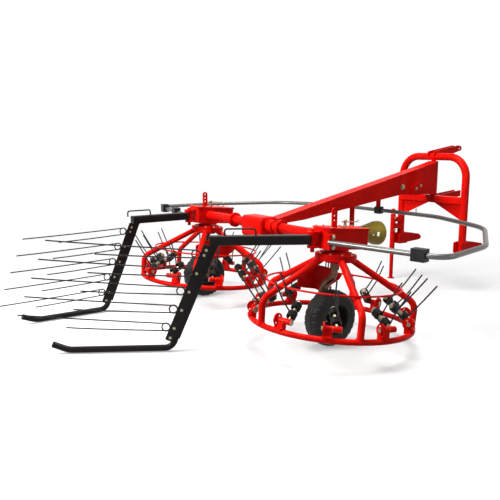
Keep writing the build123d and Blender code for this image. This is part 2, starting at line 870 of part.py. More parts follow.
finish("top_link_bracket", top_link.part)

bracket_back = headstock_y + crossbar_depth / 2
mid_slope = mid_bracket_rise / (mid_bracket_y - bracket_back)
with BuildPart() as mid_bracket:
    for _, side in sides:
        with BuildSketch(Plane.YZ.offset(side * (mid_bracket_gap + link_plate) / 2)):
            with BuildLine():
                Polyline(
                    (bracket_back, crossbar_z - mid_bracket_root[0]),
                    (bracket_back, crossbar_z + mid_bracket_root[1]),
                    (mid_bracket_y, crossbar_z + mid_bracket_rise + mid_bracket_height / 2),
                    (mid_bracket_y, crossbar_z + mid_bracket_rise - mid_bracket_height / 2),
                    close=True,
                )
            make_face()
            for slot_reach in mid_bracket_slots:
                with Locations((bracket_back + slot_reach, crossbar_z + slot_reach * mid_slope)):
                    SlotOverall(*mid_bracket_slot, rotation=degrees(atan(mid_slope)), mode=Mode.SUBTRACT)
        extrude(amount=link_plate / 2, both=True)
    with BuildSketch(Plane.YZ.offset(-mid_bracket_gap / 2)):
        with Locations((mid_bracket_y - mid_bracket_block[0] / 2, crossbar_z + mid_bracket_rise)):
            Rectangle(*mid_bracket_block)
    extrude(amount=mid_bracket_gap)
finish("middle_bracket", mid_bracket.part)

eye_lead, eye_upper, eye_lower = link_plate_eye
for side_name, side in sides:
    leg_x = side * headstock_half_width
    with BuildPart() as lower_link:
        for plate_side in (-1, 1):
            drilled_plate(
                Plane.YZ.offset(leg_x + plate_side * (headstock_tube / 2 + running_gap + link_plate / 2)),
                (
                    (headstock_y - link_plate_heel, headstock_foot - link_plate_floor),
                    (headstock_y - link_plate_heel, headstock_foot + link_plate_heel_top),
                    (headstock_y + link_plate_shoulder[0], headstock_foot + link_plate_shoulder[1]),
                    (lower_link_y + eye_lead, lower_link_z + lower_link_round),
                    (lower_link_y + lower_link_round, lower_link_z + eye_upper),
                    (lower_link_y + lower_link_round, lower_link_z - eye_lower),
                    (lower_link_y + eye_lead, lower_link_z - lower_link_round),
                    (headstock_y + link_plate_toe, headstock_foot - link_plate_floor),
                ),
                link_plate,
                ((lower_link_y, lower_link_z, pin_shank / 2 + running_gap),),
            )
        with BuildSketch(Plane.XY.offset(headstock_foot - link_base_drop)):
            with Locations((leg_x, headstock_y)):
                Rectangle(headstock_tube + 2 * (link_plate + running_gap), link_base_depth)
        extrude(amount=link_base_thickness)
    finish(f"lower_link_bracket_{side_name}", lower_link.part)

bracket_inner = headstock_half_width - headstock_tube / 2 - running_gap - link_plate
bracket_outer = headstock_half_width + headstock_tube / 2 + running_gap + link_plate
with BuildPart() as hitch_pins:
    for _, side in sides:
        for start, length, diameter in (
            (bracket_inner - running_gap - pin_nut_length, pin_nut_length, pin_collar),
            (bracket_inner - running_gap, bracket_outer - bracket_inner + 2 * running_gap, pin_shank),
            (bracket_outer + running_gap, pin_collar_length, pin_collar),
            (bracket_outer + running_gap + pin_collar_length, lower_link_reach, lower_link_pin),
        ):
            with BuildSketch(Plane.YZ.offset(side * start)):
                with Locations((lower_link_y, lower_link_z)):
                    Circle(diameter / 2)
            extrude(amount=side * length)
finish("hitch_pins", hitch_pins.part)

# Parking stand: a sleeve bolted behind the left leg of the headstock, and the sliding tube with its foot
with BuildPart() as stand_sleeve_part:
    with BuildSketch(Plane.XY.offset(stand_sleeve_bottom)):
        with Locations((stand_x, stand_y)):
            Circle(stand_sleeve / 2)
    extrude(amount=stand_sleeve_top - stand_sleeve_bottom)
    for arm_rise in stand_arms:
        with BuildSketch(Plane.XY.offset(stand_sleeve_bottom + arm_rise)):
            with Locations((stand_x, stand_y)):
                Rectangle(stand_sleeve, headstock_y - stand_y - headstock_tube / 4, align=(Align.CENTER, Align.MIN))
        extrude(amount=stand_arm_height)
    with BuildSketch(Plane.XY.offset(stand_sleeve_bottom)):
        with Locations((stand_x, stand_y)):
            Circle(stand_tube / 2 + running_gap)
    extrude(amount=stand_sleeve_top - stand_sleeve_bottom, mode=Mode.SUBTRACT)
    add(headstock.part, mode=Mode.SUBTRACT)
finish("stand_sleeve", stand_sleeve_part.part)

with BuildPart() as stand:
    with BuildSketch(Plane.XY):
        with Locations((stand_x, stand_y)):
            Circle(stand_foot / 2)
    extrude(amount=stand_foot_thickness)
    with BuildSketch(Plane.XY):
        with Locations((stand_x, stand_y)):
            Circle(stand_tube / 2)
    extrude(amount=stand_top)
finish("stand_leg", stand.part)

# Drive line: input tube, ribbed bearing housing, stub shaft and yellow guard cone on one sloping line
drive_plane = Plane(
    origin=(0, centre_box_front, drive_rear_z),
    x_dir=(1, 0, 0),
    z_dir=(0, 1, drive_slope),
)
drive_length = (drive_front_y - centre_box_front) * (1 + drive_slope**2) ** 0.5
cone_start = drive_length - cone_length
housing_start = cone_start - housing_length
with BuildPart() as drive_tube_part:
    with BuildSketch(drive_plane):
        Circle(drive_tube / 2)
    extrude(amount=housing_start)
    add(centre_gearbox.part, mode=Mode.SUBTRACT)
finish("drive_tube", drive_tube_part.part)

with BuildPart() as bearing_housing:
    with BuildSketch(drive_plane.offset(housing_start)):
        Circle(housing_diameter / 2)
    extrude(amount=housing_length)
    with BuildSketch(drive_plane.offset(housing_start + housing_rib_start)):
        with PolarLocations(housing_diameter / 2, housing_ribs):
            Rectangle(2 * housing_rib, housing_rib)
    extrude(amount=housing_rib_length)
finish("bearing_housing", bearing_housing.part)

with BuildPart() as drive_shaft:
    with BuildSketch(drive_plane.offset(cone_start)):
        Circle(shaft_diameter / 2)
    extrude(amount=cone_length - cone_mouth_gap)
finish("drive_shaft", drive_shaft.part)

with BuildPart() as drive_cone:
    with BuildSketch(Plane.XZ):
        with BuildLine():
            Polyline(
                (cone_rear_radius, 0),
                (cone_front_radius, cone_flare),
                (cone_front_radius, cone_length),
                (cone_front_radius - cone_wall, cone_length),
                (cone_front_radius - cone_wall, cone_flare + cone_wall / 2),
                (cone_rear_radius - cone_wall, cone_wall),
                (cone_bore, cone_wall),
                (cone_bore, 0),
                close=True,
            )
        make_face()
    revolve(axis=Axis.Z)
with BuildPart(drive_plane.offset(cone_start)) as guard_cone:
    add(drive_cone.part)
finish("guard_cone", guard_cone.part)

with BuildPart() as strut:
    strut_low = drive_rear_z + drive_slope * (strut_y - centre_box_front)
    with BuildSketch(Plane.XY.offset(strut_low)):
        with Locations((0, strut_y)):
            Circle(strut_tube / 2)
    extrude(amount=drawbar_floor(strut_y) - strut_low + weld_overlap)
    add(drawbar.part, mode=Mode.SUBTRACT)
    add(bearing_housing.part, mode=Mode.SUBTRACT)
finish("drive_strut", strut.part)

# Guard rail: a loop in two halves, held at the gearboxes, at the sides and below the drawbar
rails = {}
for side_name, side in sides:
    with BuildPart() as rail:
        bar(tuple((side * x, y, z) for x, y, z in rail_points), rail_bends, rail_tube / 2)
    rails[side_name] = rail.part
    finish(f"guard_rail_{side_name}", rail.part)

for side_name, side in sides:
    gearbox_side = side * (half_spacing + gearbox_width / 2)
    start_x, start_y, start_z = rail_points[0]
    with BuildPart() as rail_foot:
        with BuildSketch(Plane.YZ.offset(gearbox_side)):
            with Locations((start_y + rail_foot_shift, start_z)):
                Rectangle(*rail_foot_size)
        extrude(amount=side * (start_x + rail_foot_reach - abs(gearbox_side)))
        add(rails[side_name], mode=Mode.SUBTRACT)
    finish(f"rail_foot_{side_name}", rail_foot.part)

with BuildPart() as rail_clamps:
    for side_name, side, shares in rail_clamp_shares:
        run_x = side * (rail_points[1][0] - rail_points[0][0])
        run_y = rail_points[1][1] - rail_points[0][1]
        for share in shares:
            clamp_x, clamp_y, clamp_z = [a + share * (b - a) for a, b in zip(rail_points[0], rail_points[1])]
            clamp_plane = Plane(origin=(side * clamp_x, clamp_y, clamp_z), x_dir=(run_x, run_y, 0), z_dir=(0, 0, 1))
            with BuildSketch(clamp_plane.offset(-rail_clamp_height / 2)):
                Rectangle(rail_clamp, rail_clamp_depth)
            extrude(amount=rail_clamp_height)
        add(rails[side_name], mode=Mode.SUBTRACT)
finish("rail_clamps", rail_clamps.part)

with BuildPart() as rail_hanger:
    hanger_top = drawbar_floor(rail_hanger_y)
    rail_end = rail_points[-1]
    rail_end_depth = rail_tube + 2 * rail_end_wall
    with BuildSketch(Plane.XY.offset(rail_end[2] - rail_end_depth / 2)):
        with Locations((0, rail_end[1])):
            Rectangle(rail_end_width, rail_end_depth)
    extrude(amount=rail_end_depth)
    with BuildSketch(Plane.XY.offset(rail_end[2])):
        with Locations((0, rail_hanger_y)):
            Rectangle(rail_hanger_bar, rail_hanger_bar)
    extrude(amount=hanger_top - rail_end[2] + weld_overlap)
    add(drawbar.part, mode=Mode.SUBTRACT)
    for side_name, _ in sides:
        add(rails[side_name], mode=Mode.SUBTRACT)
finish("rail_hanger", rail_hanger.part)

# Swath gates, each modelled with its pivot on the Z axis and its arm along -Y
lean = radians(post_lean)
post_top_z = gate_pivot_z - arm_tube / 2
gate_post_length = (post_top_z - post_foot_z) / cos(lean)
for side_name, side, swing, reach, skid_length in gates:
    post_top_y = -reach + post_tube / 2 + post_setback
    post_foot_y = post_top_y - (post_top_z - post_foot_z) * tan(lean)
    with BuildPart() as arm_model:
        with BuildSketch(Plane.XY.offset(barrel_floor)):
            Circle(barrel_diameter / 2)
        extrude(amount=barrel_height)
        square_bar((0, 0, gate_pivot_z), (0, -reach, gate_pivot_z), (1, 0, 0), arm_tube, arm_tube)
        with BuildSketch(Plane.XY.offset(barrel_floor)):
            Circle(gate_pin / 2 + running_gap)
        extrude(amount=barrel_height, mode=Mode.SUBTRACT)
        square_bar(
            (0, post_top_y + post_sunk * tan(lean), post_top_z + post_sunk),
            (0, post_foot_y, post_foot_z),
            (1, 0, 0),
            post_tube,
            post_tube,
        )
    post_axis = Plane(origin=(0, post_top_y, post_top_z), x_dir=(1, 0, 0), z_dir=(0, -sin(lean), -cos(lean)))
    with BuildPart() as tine_bar_model:
        with BuildSketch(post_axis.offset(tine_bar_start)):
            with Locations((post_tube / 2 + running_gap + tine_bar_thickness / 2, tine_bar_offset)):
                Rectangle(tine_bar_thickness, tine_bar_width)
        extrude(amount=gate_post_length - tine_bar_start - tine_bar_end_gap)
    with BuildPart() as skid_model:
        heel_y = post_foot_y - skid_heel_shift
        bar(
            (
                (0, post_foot_y, post_foot_z),
                (0, post_foot_y - (post_foot_z - skid_axis_z) * tan(lean), skid_axis_z),
                (0, heel_y - skid_length, skid_axis_z),
                (0, heel_y - skid_length - skid_tip_length, skid_axis_z + skid_tip_rise),
            ),
            (skid_heel_radius, skid_heel_radius * 2),
            skid_tube / 2,
        )
    with BuildPart() as handle_model:
        bar(
            (
                (0, -handle_start, gate_pivot_z + arm_tube / 2),
                (0, -handle_start, gate_pivot_z + arm_tube / 2 + handle_rise),
                (0, -handle_start - handle_length, gate_pivot_z + arm_tube / 2 + handle_rise),
                (0, -handle_start - handle_length, gate_pivot_z + arm_tube / 2),
            ),
            handle_rod * 1.5,
            handle_rod / 2,
        )
    with BuildPart() as gate_tines_model:
        for step in range(gate_tine_count):
            along = gate_tine_first + step * gate_tine_pitch
            back = tine_bar_offset + tine_bar_width / 2 + loop_gap
            centre_y = post_top_y - along * sin(lean) - back * cos(lean)
            centre_z = post_top_z - along * cos(lean) + back * sin(lean)
            wire_x = post_tube / 2 - gate_wire / 2
            with BuildSketch(Plane.YZ.offset(wire_x - gate_wire / 2)):
                with Locations((centre_y, centre_z)):
                    Circle(loop_diameter / 2)
                    Circle(loop_diameter / 2 - gate_wire, mode=Mode.SUBTRACT)
            extrude(amount=gate_wire)
            loop_edge = (loop_diameter - gate_wire) / 2
            for up, length, rise in ((1, long_rod, long_rod_rise), (-1, short_rod, short_rod_rise)):
                climb = radians(rise)
                start = (wire_x, centre_y, centre_z + up * loop_edge)
                end = (wire_x, centre_y - length * cos(climb), centre_z + up * loop_edge + length * sin(climb))
                with BuildLine() as path:
                    Line(start, end)
                with BuildSketch(Plane(origin=start, z_dir=path.line % 0)):
                    RegularPolygon(gate_wire / 2, 6)
                sweep()
    for kind, model in (
        ("arm", arm_model),
        ("tine_bar", tine_bar_model),
        ("skid", skid_model),
        ("handle", handle_model),
        ("tines", gate_tines_model),
    ):
        with BuildPart(gate_plane(side, swing)) as placed:
            add(model.part)
        finish(f"gate_{side_name}_{kind}", placed.part)

# The whole machine, moved so that its origin lies at the middle of its box, and written piece by piece
boxes = [piece.bounding_box() for piece in pieces]
middle_y = (min(box.min.Y for box in boxes) + max(box.max.Y for box in boxes)) / 2
for piece in pieces:
    placed_piece = piece.moved(Location((0, -middle_y, 0)))
    placed_piece.label = piece.label
    export_step(placed_piece, f"parts/{piece.label}.step")
print(f"the origin lies {middle_y:.3f} mm ahead of the axle line")
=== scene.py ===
# %% [markdown]
# A two-rotor hay rake, dressed for its picture. The construction model already holds every tube,
# plate and joint, so this lesson leaves their places alone. It gives each piece the finish of the real
# machine, and the small round things that a construction model leaves out: coil windings, bolts, tyre
# tread, weld beads and smooth bent tubes.
# The first step loads that model as a fixed frame, which says where each body stands and turns. The
# sizes of a piece are named values of its own step, in metres, taken over from the construction
# model. The gates' rods and tine bars differ from it most, and their steps say how.

import json
from math import cos, pi, radians, sin, tan

import bmesh
import bpy
import numpy as np
from mathutils import Matrix, Vector


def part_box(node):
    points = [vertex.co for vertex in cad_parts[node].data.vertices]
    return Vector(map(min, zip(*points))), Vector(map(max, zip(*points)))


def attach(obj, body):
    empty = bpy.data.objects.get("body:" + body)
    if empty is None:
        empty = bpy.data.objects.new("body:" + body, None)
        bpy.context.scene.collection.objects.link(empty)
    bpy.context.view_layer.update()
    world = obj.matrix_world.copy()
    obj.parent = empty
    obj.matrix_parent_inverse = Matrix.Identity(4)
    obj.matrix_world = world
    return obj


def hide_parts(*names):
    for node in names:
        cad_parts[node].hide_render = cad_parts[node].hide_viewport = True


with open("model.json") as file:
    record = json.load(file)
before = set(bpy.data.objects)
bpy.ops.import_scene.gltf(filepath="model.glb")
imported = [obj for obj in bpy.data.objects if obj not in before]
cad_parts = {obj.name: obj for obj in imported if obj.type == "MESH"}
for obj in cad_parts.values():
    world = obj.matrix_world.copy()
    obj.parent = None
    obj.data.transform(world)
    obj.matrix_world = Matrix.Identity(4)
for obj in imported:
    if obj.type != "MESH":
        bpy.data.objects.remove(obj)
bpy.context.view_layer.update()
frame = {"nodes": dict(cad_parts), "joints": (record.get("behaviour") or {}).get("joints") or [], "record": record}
joints = {joint["name"]: joint for joint in frame["joints"]}
SIDES = (("right", 1), ("left", -1))

# %% [markdown]
# The camera comes first, because it decides which edges and bolts will be seen. A photograph taken
# this near shows perspective: the near wheel looks about a third larger than the far one. So the
# camera stands behind and to the right of the machine, at about chest height, with a lens close to a
# normal one. A camera that is simply aimed at the machine's middle would show the right side of it
# but the wrong sizes.

# %% The camera
CAMERA_FROM_AXLES = Vector((3.351, -2.398, 1.196))
CAMERA_YAW = radians(55.23)
CAMERA_PITCH = radians(-9.86)
LENS = 43.03
SENSOR = 36.0
AXLE_Y = joints["wheel_right_roll"]["pos_m"][1]


def make_camera():
    """Put the camera at its place: it looks along +Y, turned left by the yaw and down by the pitch."""
    lens = bpy.data.cameras.new("camera")
    lens.lens = LENS
    lens.sensor_width = SENSOR
    camera = bpy.data.objects.new("camera", lens)
    bpy.context.scene.collection.objects.link(camera)
    camera.location = CAMERA_FROM_AXLES + Vector((0, AXLE_Y, 0))
    camera.rotation_euler = (pi / 2 + CAMERA_PITCH, 0, CAMERA_YAW)
    bpy.context.scene.camera = camera
    return camera


camera = make_camera()
print("camera at", tuple(round(v, 3) for v in camera.location))

# %% [markdown]
# Studio light for glossy paint is large and soft. A lamp the size of a door gives a long even
# streak on each tube, where a small lamp would give a hard dot. The world adds pale fill from all
# round. The background is white only for the camera and for reflections, by asking what kind of
# ray is looking, so that a white page doesn't pour extra light on the paint.

# %% Light, floor and world
FILL_LEVEL = 0.17
FLOOR_SEEN, FLOOR_BOUNCE = (0.92, 0.92, 0.92), (0.20, 0.17, 0.15)
FLOOR_REACH, FLOOR_GLOW, FLOOR_FADE = 30.0, 0.35, (1.5, 3.4)
LAMPS = (
    # name, place, aimed at, size, watts
    ("key_lamp", (0.2, -0.4, 5.2), (0.0, 0.2, 0.4), 2.8, 270),
    ("side_lamp", (5.0, 2.2, 2.4), (0.6, 0.2, 0.5), 1.6, 30),
    ("rear_lamp", (-1.0, -4.8, 3.2), (0.2, 0.0, 0.4), 2.0, 330),
)


def make_lamp(name, place, aim, size, watts):
    """One soft square lamp at a place, turned so that its face points at what it lights."""
    data = bpy.data.lights.new(name, "AREA")
    data.energy = watts
    data.size = size
    lamp = bpy.data.objects.new(name, data)
    bpy.context.scene.collection.objects.link(lamp)
    lamp.location = place
    lamp.rotation_euler = (Vector(aim) - Vector(place)).to_track_quat("-Z", "Y").to_euler()
    return lamp


def add_node(tree, kind, values=None, **settings):
    """Add one shader node, set its plain settings, and fill in its inputs by name or by number."""
    node = tree.nodes.new(kind)
    for key, value in settings.items():
        setattr(node, key, value)
    for key, value in (values or {}).items():
        if isinstance(value, bpy.types.NodeSocket):
            tree.links.new(value, node.inputs[key])
        else:
            node.inputs[key].default_value = value
    return node


def levels(tree, factor, low, high, dark, light):
    """Map a factor between low and high onto plain numbers from dark to light, held at both ends."""
    values = {"Value": factor, "From Min": low, "From Max": high, "To Min": dark, "To Max": light}
    return add_node(tree, "ShaderNodeMapRange", values).outputs[0]


def mixed(tree, factor, first, second):
    """First colour where the factor is 0 and second where it is 1."""
    node = add_node(tree, "ShaderNodeMix", data_type="RGBA")
    for socket, value in ((node.inputs[0], factor), (node.inputs[6], first), (node.inputs[7], second)):
        if isinstance(value, bpy.types.NodeSocket):
            tree.links.new(value, socket)
        elif isinstance(value, tuple):
            socket.default_value = (*value, 1)
        else:
            socket.default_value = value
    return node.outputs[2]


def seen_directly(tree):
    """1 for a ray from the camera, or by way of metal or glass, and 0 for light that is only on its way."""
    ray = add_node(tree, "ShaderNodeLightPath").outputs
    metal = add_node(
        tree, "ShaderNodeMath", {0: ray["Is Camera Ray"], 1: ray["Is Glossy Ray"]}, operation="MAXIMUM"
    )
    glass = {0: metal.outputs[0], 1: ray["Is Transmission Ray"]}
    return add_node(tree, "ShaderNodeMath", glass, operation="MAXIMUM").outputs[0]


def make_world():
    """A grey fill that camera and mirror rays see as white."""
    world = bpy.data.worlds.new("studio")
    bpy.context.scene.world = world
    world.use_nodes = True
    tree = world.node_tree
    tree.nodes.clear()
    level = add_node(
        tree, "ShaderNodeMapRange", {"Value": seen_directly(tree), "To Min": FILL_LEVEL, "To Max": 1.0}
    )
    sky = add_node(tree, "ShaderNodeBackground", {"Color": (1, 1, 1, 1), "Strength": level.outputs[0]})
    add_node(tree, "ShaderNodeOutputWorld", {"Surface": sky.outputs[0]})


def make_floor():
    """A wide flat floor under the wheels. It keeps the machine's shadow, and away from the machine it
    turns into a plain glow of strength 1, so that no horizon shows. The light it throws back on the machine
    is that of a darker ground."""
    corners = FLOOR_REACH * np.array([(-1, -1, 0), (1, -1, 0), (1, 1, 0), (-1, 1, 0)], float)
    mesh = bpy.data.meshes.new("floor")
    mesh.from_pydata(corners.tolist(), [], [(0, 1, 2, 3)])
    floor = bpy.data.objects.new("floor", mesh)
    bpy.context.scene.collection.objects.link(floor)
    material = bpy.data.materials.new("pale floor")
    material.use_nodes = True
    tree = material.node_tree
    shader = tree.nodes["Principled BSDF"]
    shader.inputs["Roughness"].default_value = 0.9
    shader.inputs["Specular IOR Level"].default_value = 0.0
    seen = seen_directly(tree)
    tree.links.new(mixed(tree, seen, FLOOR_BOUNCE, FLOOR_SEEN), shader.inputs["Base Color"])
    place = add_node(tree, "ShaderNodeTexCoord").outputs["Object"]
    distance = add_node(tree, "ShaderNodeVectorMath", {0: place}, operation="LENGTH").outputs["Value"]
    far = levels(tree, distance, *FLOOR_FADE, FLOOR_GLOW, 1.0)
    share = add_node(tree, "ShaderNodeMath", {0: far, 1: seen}, operation="MULTIPLY").outputs[0]
    glow = add_node(tree, "ShaderNodeEmission", {"Color": (1, 1, 1, 1), "Strength": 1.0})
    both = add_node(tree, "ShaderNodeMixShader", {0: share, 1: shader.outputs[0], 2: glow.outputs[0]})
    tree.links.new(both.outputs[0], tree.nodes["Material Output"].inputs["Surface"])
    mesh.materials.append(material)


for row in LAMPS:
    make_lamp(*row)
make_world()
make_floor()
bpy.context.scene.view_settings.view_transform = "Standard"
print(len(LAMPS), "lamps")

# %% [markdown]
# Every finish reads Object coordinates. Each piece has its origin at the machine's own, so a pattern
# in metres has one scale over the whole machine and runs on from one piece to the next. The
# alternative, unwrapping each piece, is only worth its work where a pattern follows the surface.
# Small helpers keep the finishes short: a noise, stretched coordinates, a colour ramp, a bump, and a
# measure of how far a surface faces up.

# %% Helpers for finishes
def start_material(name):
    """An empty finish: the material, its node tree, its shader and the Object coordinates."""
    material = bpy.data.materials.new(name)
    material.use_nodes = True
    tree = material.node_tree
    place = add_node(tree, "ShaderNodeTexCoord").outputs["Object"]
    return material, tree, tree.nodes["Principled BSDF"], place


def noise(tree, place, scale, detail=3.0, roughness=0.55):
    """Cloudy noise of a scale given in waves for each metre."""
    values = {"Vector": place, "Scale": scale, "Detail": detail, "Roughness": roughness}
    return add_node(tree, "ShaderNodeTexNoise", values).outputs[0]


def stretched(tree, place, scale):
    """The coordinates stretched along the axes, for brushed and drawn surfaces."""
    return add_node(tree, "ShaderNodeMapping", {"Vector": place, "Scale": scale}).outputs[0]


def ramp(tree, factor, *stops):
    """A colour ramp whose stops are (place, colour), smooth from one to the next."""
    node = add_node(tree, "ShaderNodeValToRGB", {0: factor})
    band = node.color_ramp
    while len(band.elements) < len(stops):
        band.elements.new(0.5)
    for element, (where, colour) in zip(band.elements, stops):
        element.position = where
        element.color = (*colour, 1)
    return node.outputs[0]


def bumped(tree, shader, height, strength, distance, under=None):
    """Raise the surface by a height pattern, on top of an earlier bump if one is given."""
    values = {"Height": height, "Strength": strength, "Distance": distance}
    if under is not None:
        values["Normal"] = under
    normal = add_node(tree, "ShaderNodeBump", values).outputs[0]
    tree.links.new(normal, shader.inputs["Normal"])
    return normal


def facing_up(tree):
    """How far the surface faces upwards, from -1 to 1, for dust that settles."""
    normal = add_node(tree, "ShaderNodeNewGeometry").outputs["Normal"]
    return add_node(tree, "ShaderNodeSeparateXYZ", {0: normal}).outputs["Z"]


print(len(bpy.data.materials), "materials before the first finish")

# %% [markdown]
# The red is a thick gloss enamel over welded steel. Real enamel isn't one red: it is a little darker
# where it is thin, it has the fine orange-peel ripple that breaks a highlight's edge, and it gathers
# a film of dust where it faces up. A clear coat on the shader gives the second, sharper highlight
# that a single roughness can't. The black of the gates is the same paint, thinner and duller.

# %% Painted finishes
RED_DEEP = (0.60, 0.003, 0.002)
RED_FRESH = (0.80, 0.006, 0.002)
RED_DUSTY = (0.80, 0.035, 0.012)
PRIMER = (0.19, 0.13, 0.11)


def painted(name, deep, fresh, dusty, chip, gloss, coat, shine=0.025, dust=0.10, chips=0.71):
    """Enamel: cloudy colour, dust on upper faces, chips down to primer, and an orange-peel ripple."""
    material, tree, shader, place = start_material(name)
    cloud = noise(tree, place, 5.0)
    fine = noise(tree, place, 90.0, 5.0)
    body = ramp(tree, cloud, (0.30, deep), (0.66, fresh))
    settled = levels(tree, facing_up(tree), 0.45, 1.0, 0.0, dust)
    patches = {0: settled, 1: levels(tree, fine, 0.35, 0.65, 0.2, 1.0)}
    patchy = add_node(tree, "ShaderNodeMath", patches, operation="MULTIPLY").outputs[0]
    covered = mixed(tree, patchy, body, dusty)
    chipped = levels(tree, noise(tree, place, 210.0, 2.0), chips, chips + 0.015, 0.0, 1.0)
    tree.links.new(mixed(tree, chipped, covered, chip), shader.inputs["Base Color"])
    tree.links.new(levels(tree, fine, 0.3, 0.7, gloss, gloss + 0.16), shader.inputs["Roughness"])
    shader.inputs["Specular IOR Level"].default_value = shine
    shader.inputs["Coat Weight"].default_value = coat
    shader.inputs["Coat Roughness"].default_value = 0.09
    ripple = bumped(tree, shader, noise(tree, place, 160.0, 2.0), 0.10, 0.0006)
    bumped(tree, shader, cloud, 0.08, 0.004, ripple)
    return material


def red_paint():
    """The enamel of the frame, the baskets and the headstock."""
    return painted("red enamel", RED_DEEP, RED_FRESH, RED_DUSTY, PRIMER, 0.26, 0.05)


def black_paint():
    """The thinner black of the swath gates, a little brown where it is worn."""
    return painted(
        "black gate paint", (0.005, 0.004, 0.004), (0.011, 0.008, 0.008), (0.040, 0.030, 0.028),
        (0.10, 0.06, 0.04), 0.30, 0.04, 0.10, dust=0.10, chips=0.70,
    )


def spring_paint():
    """Oil-blackened spring wire with a thin satin varnish."""
    return painted(
        "black spring wire", (0.010, 0.010, 0.011), (0.026, 0.026, 0.028), (0.06, 0.06, 0.06),
        (0.12, 0.10, 0.09), 0.28, 0.06, 0.10, dust=0.10, chips=0.70,
    )


def rim_paint():
    """The dark grey enamel of the wheel rims."""
    return painted(
        "grey rim paint", (0.030, 0.030, 0.032), (0.055, 0.055, 0.058), (0.12, 0.11, 0.10),
        (0.16, 0.10, 0.07), 0.34, 0.08, dust=0.2,
    )


print("red enamel runs from", RED_DEEP, "to", RED_FRESH)

# %% [markdown]
# Bare metal on the machine is of three kinds. The guard rail is hot-dip galvanised, with a grain of
# flat zinc crystals that each turn the light a little differently, so a cell pattern changes its
# shade and roughness. Bolts, levers and the splined shaft are zinc plated and passivated, which adds
# a thin yellow film. Both are full metals in the shader: their colour is that of the reflection. The
# legs are dark forged steel under oil and dust, so they are only partly metal there, and the lightest
# golden brown of their patches is a painted highlight.

# %% Bare metal finishes
SPANGLE_SCALE = 150.0


def galvanised():
    """Zinc crystals: each cell has its own grey and its own roughness."""
    material, tree, shader, place = start_material("galvanised tube")
    cells = add_node(tree, "ShaderNodeTexVoronoi", {"Vector": place, "Scale": SPANGLE_SCALE})
    shade = add_node(tree, "ShaderNodeSeparateColor", {0: cells.outputs["Color"]}).outputs[0]
    grey = ramp(tree, shade, (0.0, (0.105, 0.10, 0.095)), (1.0, (0.13, 0.125, 0.12)))
    stain = levels(tree, noise(tree, place, 9.0), 0.55, 0.75, 0.0, 0.45)
    tree.links.new(mixed(tree, stain, grey, (0.12, 0.10, 0.08)), shader.inputs["Base Color"])
    tree.links.new(levels(tree, shade, 0.0, 1.0, 0.30, 0.34), shader.inputs["Roughness"])
    shader.inputs["Metallic"].default_value = 1.0
    bumped(tree, shader, noise(tree, place, 240.0), 0.10, 0.0005)
    return material


def zinc_plate():
    """Plated steel: drawn grain, and a faint yellow film that comes and goes."""
    material, tree, shader, place = start_material("zinc plated steel")
    film = noise(tree, place, 26.0)
    stops = (0.35, (0.26, 0.25, 0.23)), (0.55, (0.34, 0.29, 0.17)), (0.72, (0.22, 0.17, 0.10))
    tint = ramp(tree, film, *stops)
    grime = levels(tree, noise(tree, place, 70.0), 0.56, 0.72, 0.0, 0.7)
    tree.links.new(mixed(tree, grime, tint, (0.12, 0.09, 0.07)), shader.inputs["Base Color"])
    grain = noise(tree, stretched(tree, place, (1.0, 6.0, 1.0)), 190.0)
    tree.links.new(levels(tree, grain, 0.3, 0.7, 0.24, 0.42), shader.inputs["Roughness"])
    shader.inputs["Metallic"].default_value = 1.0
    bumped(tree, shader, grain, 0.12, 0.0005)
    return material


def worn_steel():
    """Dark forged steel of the legs under the rotors, brown with oil and dust; its lightest brown is a painted
    highlight.
    """
    material, tree, shader, place = start_material("dark forged steel")
    patches = noise(tree, place, 14.0, 5.0)
    # The darker stops are patches of oil and dust; the lightest golden brown is a painted highlight.
    stops = (0.32, (0.07, 0.03, 0.018)), (0.55, (0.16, 0.07, 0.04)), (0.75, (0.26, 0.16, 0.10))
    tree.links.new(ramp(tree, patches, *stops), shader.inputs["Base Color"])
    tree.links.new(levels(tree, patches, 0.3, 0.7, 0.28, 0.5), shader.inputs["Roughness"])
    shader.inputs["Metallic"].default_value = 0.6
    bumped(tree, shader, noise(tree, place, 150.0, 5.0), 0.25, 0.001)
    return material


print("a zinc crystal is about", round(1000 / SPANGLE_SCALE, 1), "mm across")

# %% [markdown]
# The rest is rubber and plastic. Tyre rubber is a near-black with brown dust in its grooves and a
# bloom that makes its highlight wide and weak. The shaft guard is a translucent yellow polythene,
# which glows a little where light comes through the wall, so part of its colour is given to
# subsurface light rather than to the surface.

# %% Rubber and plastic finishes
def tyre_rubber():
    """Dull black rubber with a soft dusty bloom and fine moulding grain."""
    material, tree, shader, place = start_material("tyre rubber")
    dust = noise(tree, place, 22.0, 5.0)
    stops = (0.40, (0.006, 0.006, 0.006)), (0.62, (0.013, 0.012, 0.011)), (0.80, (0.040, 0.033, 0.027))
    tree.links.new(ramp(tree, dust, *stops), shader.inputs["Base Color"])
    tree.links.new(levels(tree, dust, 0.35, 0.7, 0.38, 0.62), shader.inputs["Roughness"])
    shader.inputs["Specular IOR Level"].default_value = 0.22
    bumped(tree, shader, noise(tree, place, 420.0), 0.18, 0.0006)
    return material


def moulded(name, dark, light, roughness, glow=0.0):
    """Moulded plastic: a faint flow pattern in the colour and a fine grain on the surface."""
    material, tree, shader, place = start_material(name)
    flow = noise(tree, place, 12.0, 4.0)
    tree.links.new(ramp(tree, flow, (0.32, dark), (0.68, light)), shader.inputs["Base Color"])
    tree.links.new(levels(tree, flow, 0.3, 0.7, roughness, roughness + 0.14), shader.inputs["Roughness"])
    shader.inputs["Specular IOR Level"].default_value = 0.22
    shader.inputs["Subsurface Weight"].default_value = glow
    shader.inputs["Subsurface Scale"].default_value = 0.004
    bumped(tree, shader, noise(tree, place, 300.0), 0.12, 0.0005)
    return material


def yellow_plastic():
    """The shaft guard's polythene, an olive yellow in the machine's own shade."""
    return moulded("yellow guard plastic", (0.24, 0.17, 0.015), (0.36, 0.26, 0.03), 0.36, 0.08)


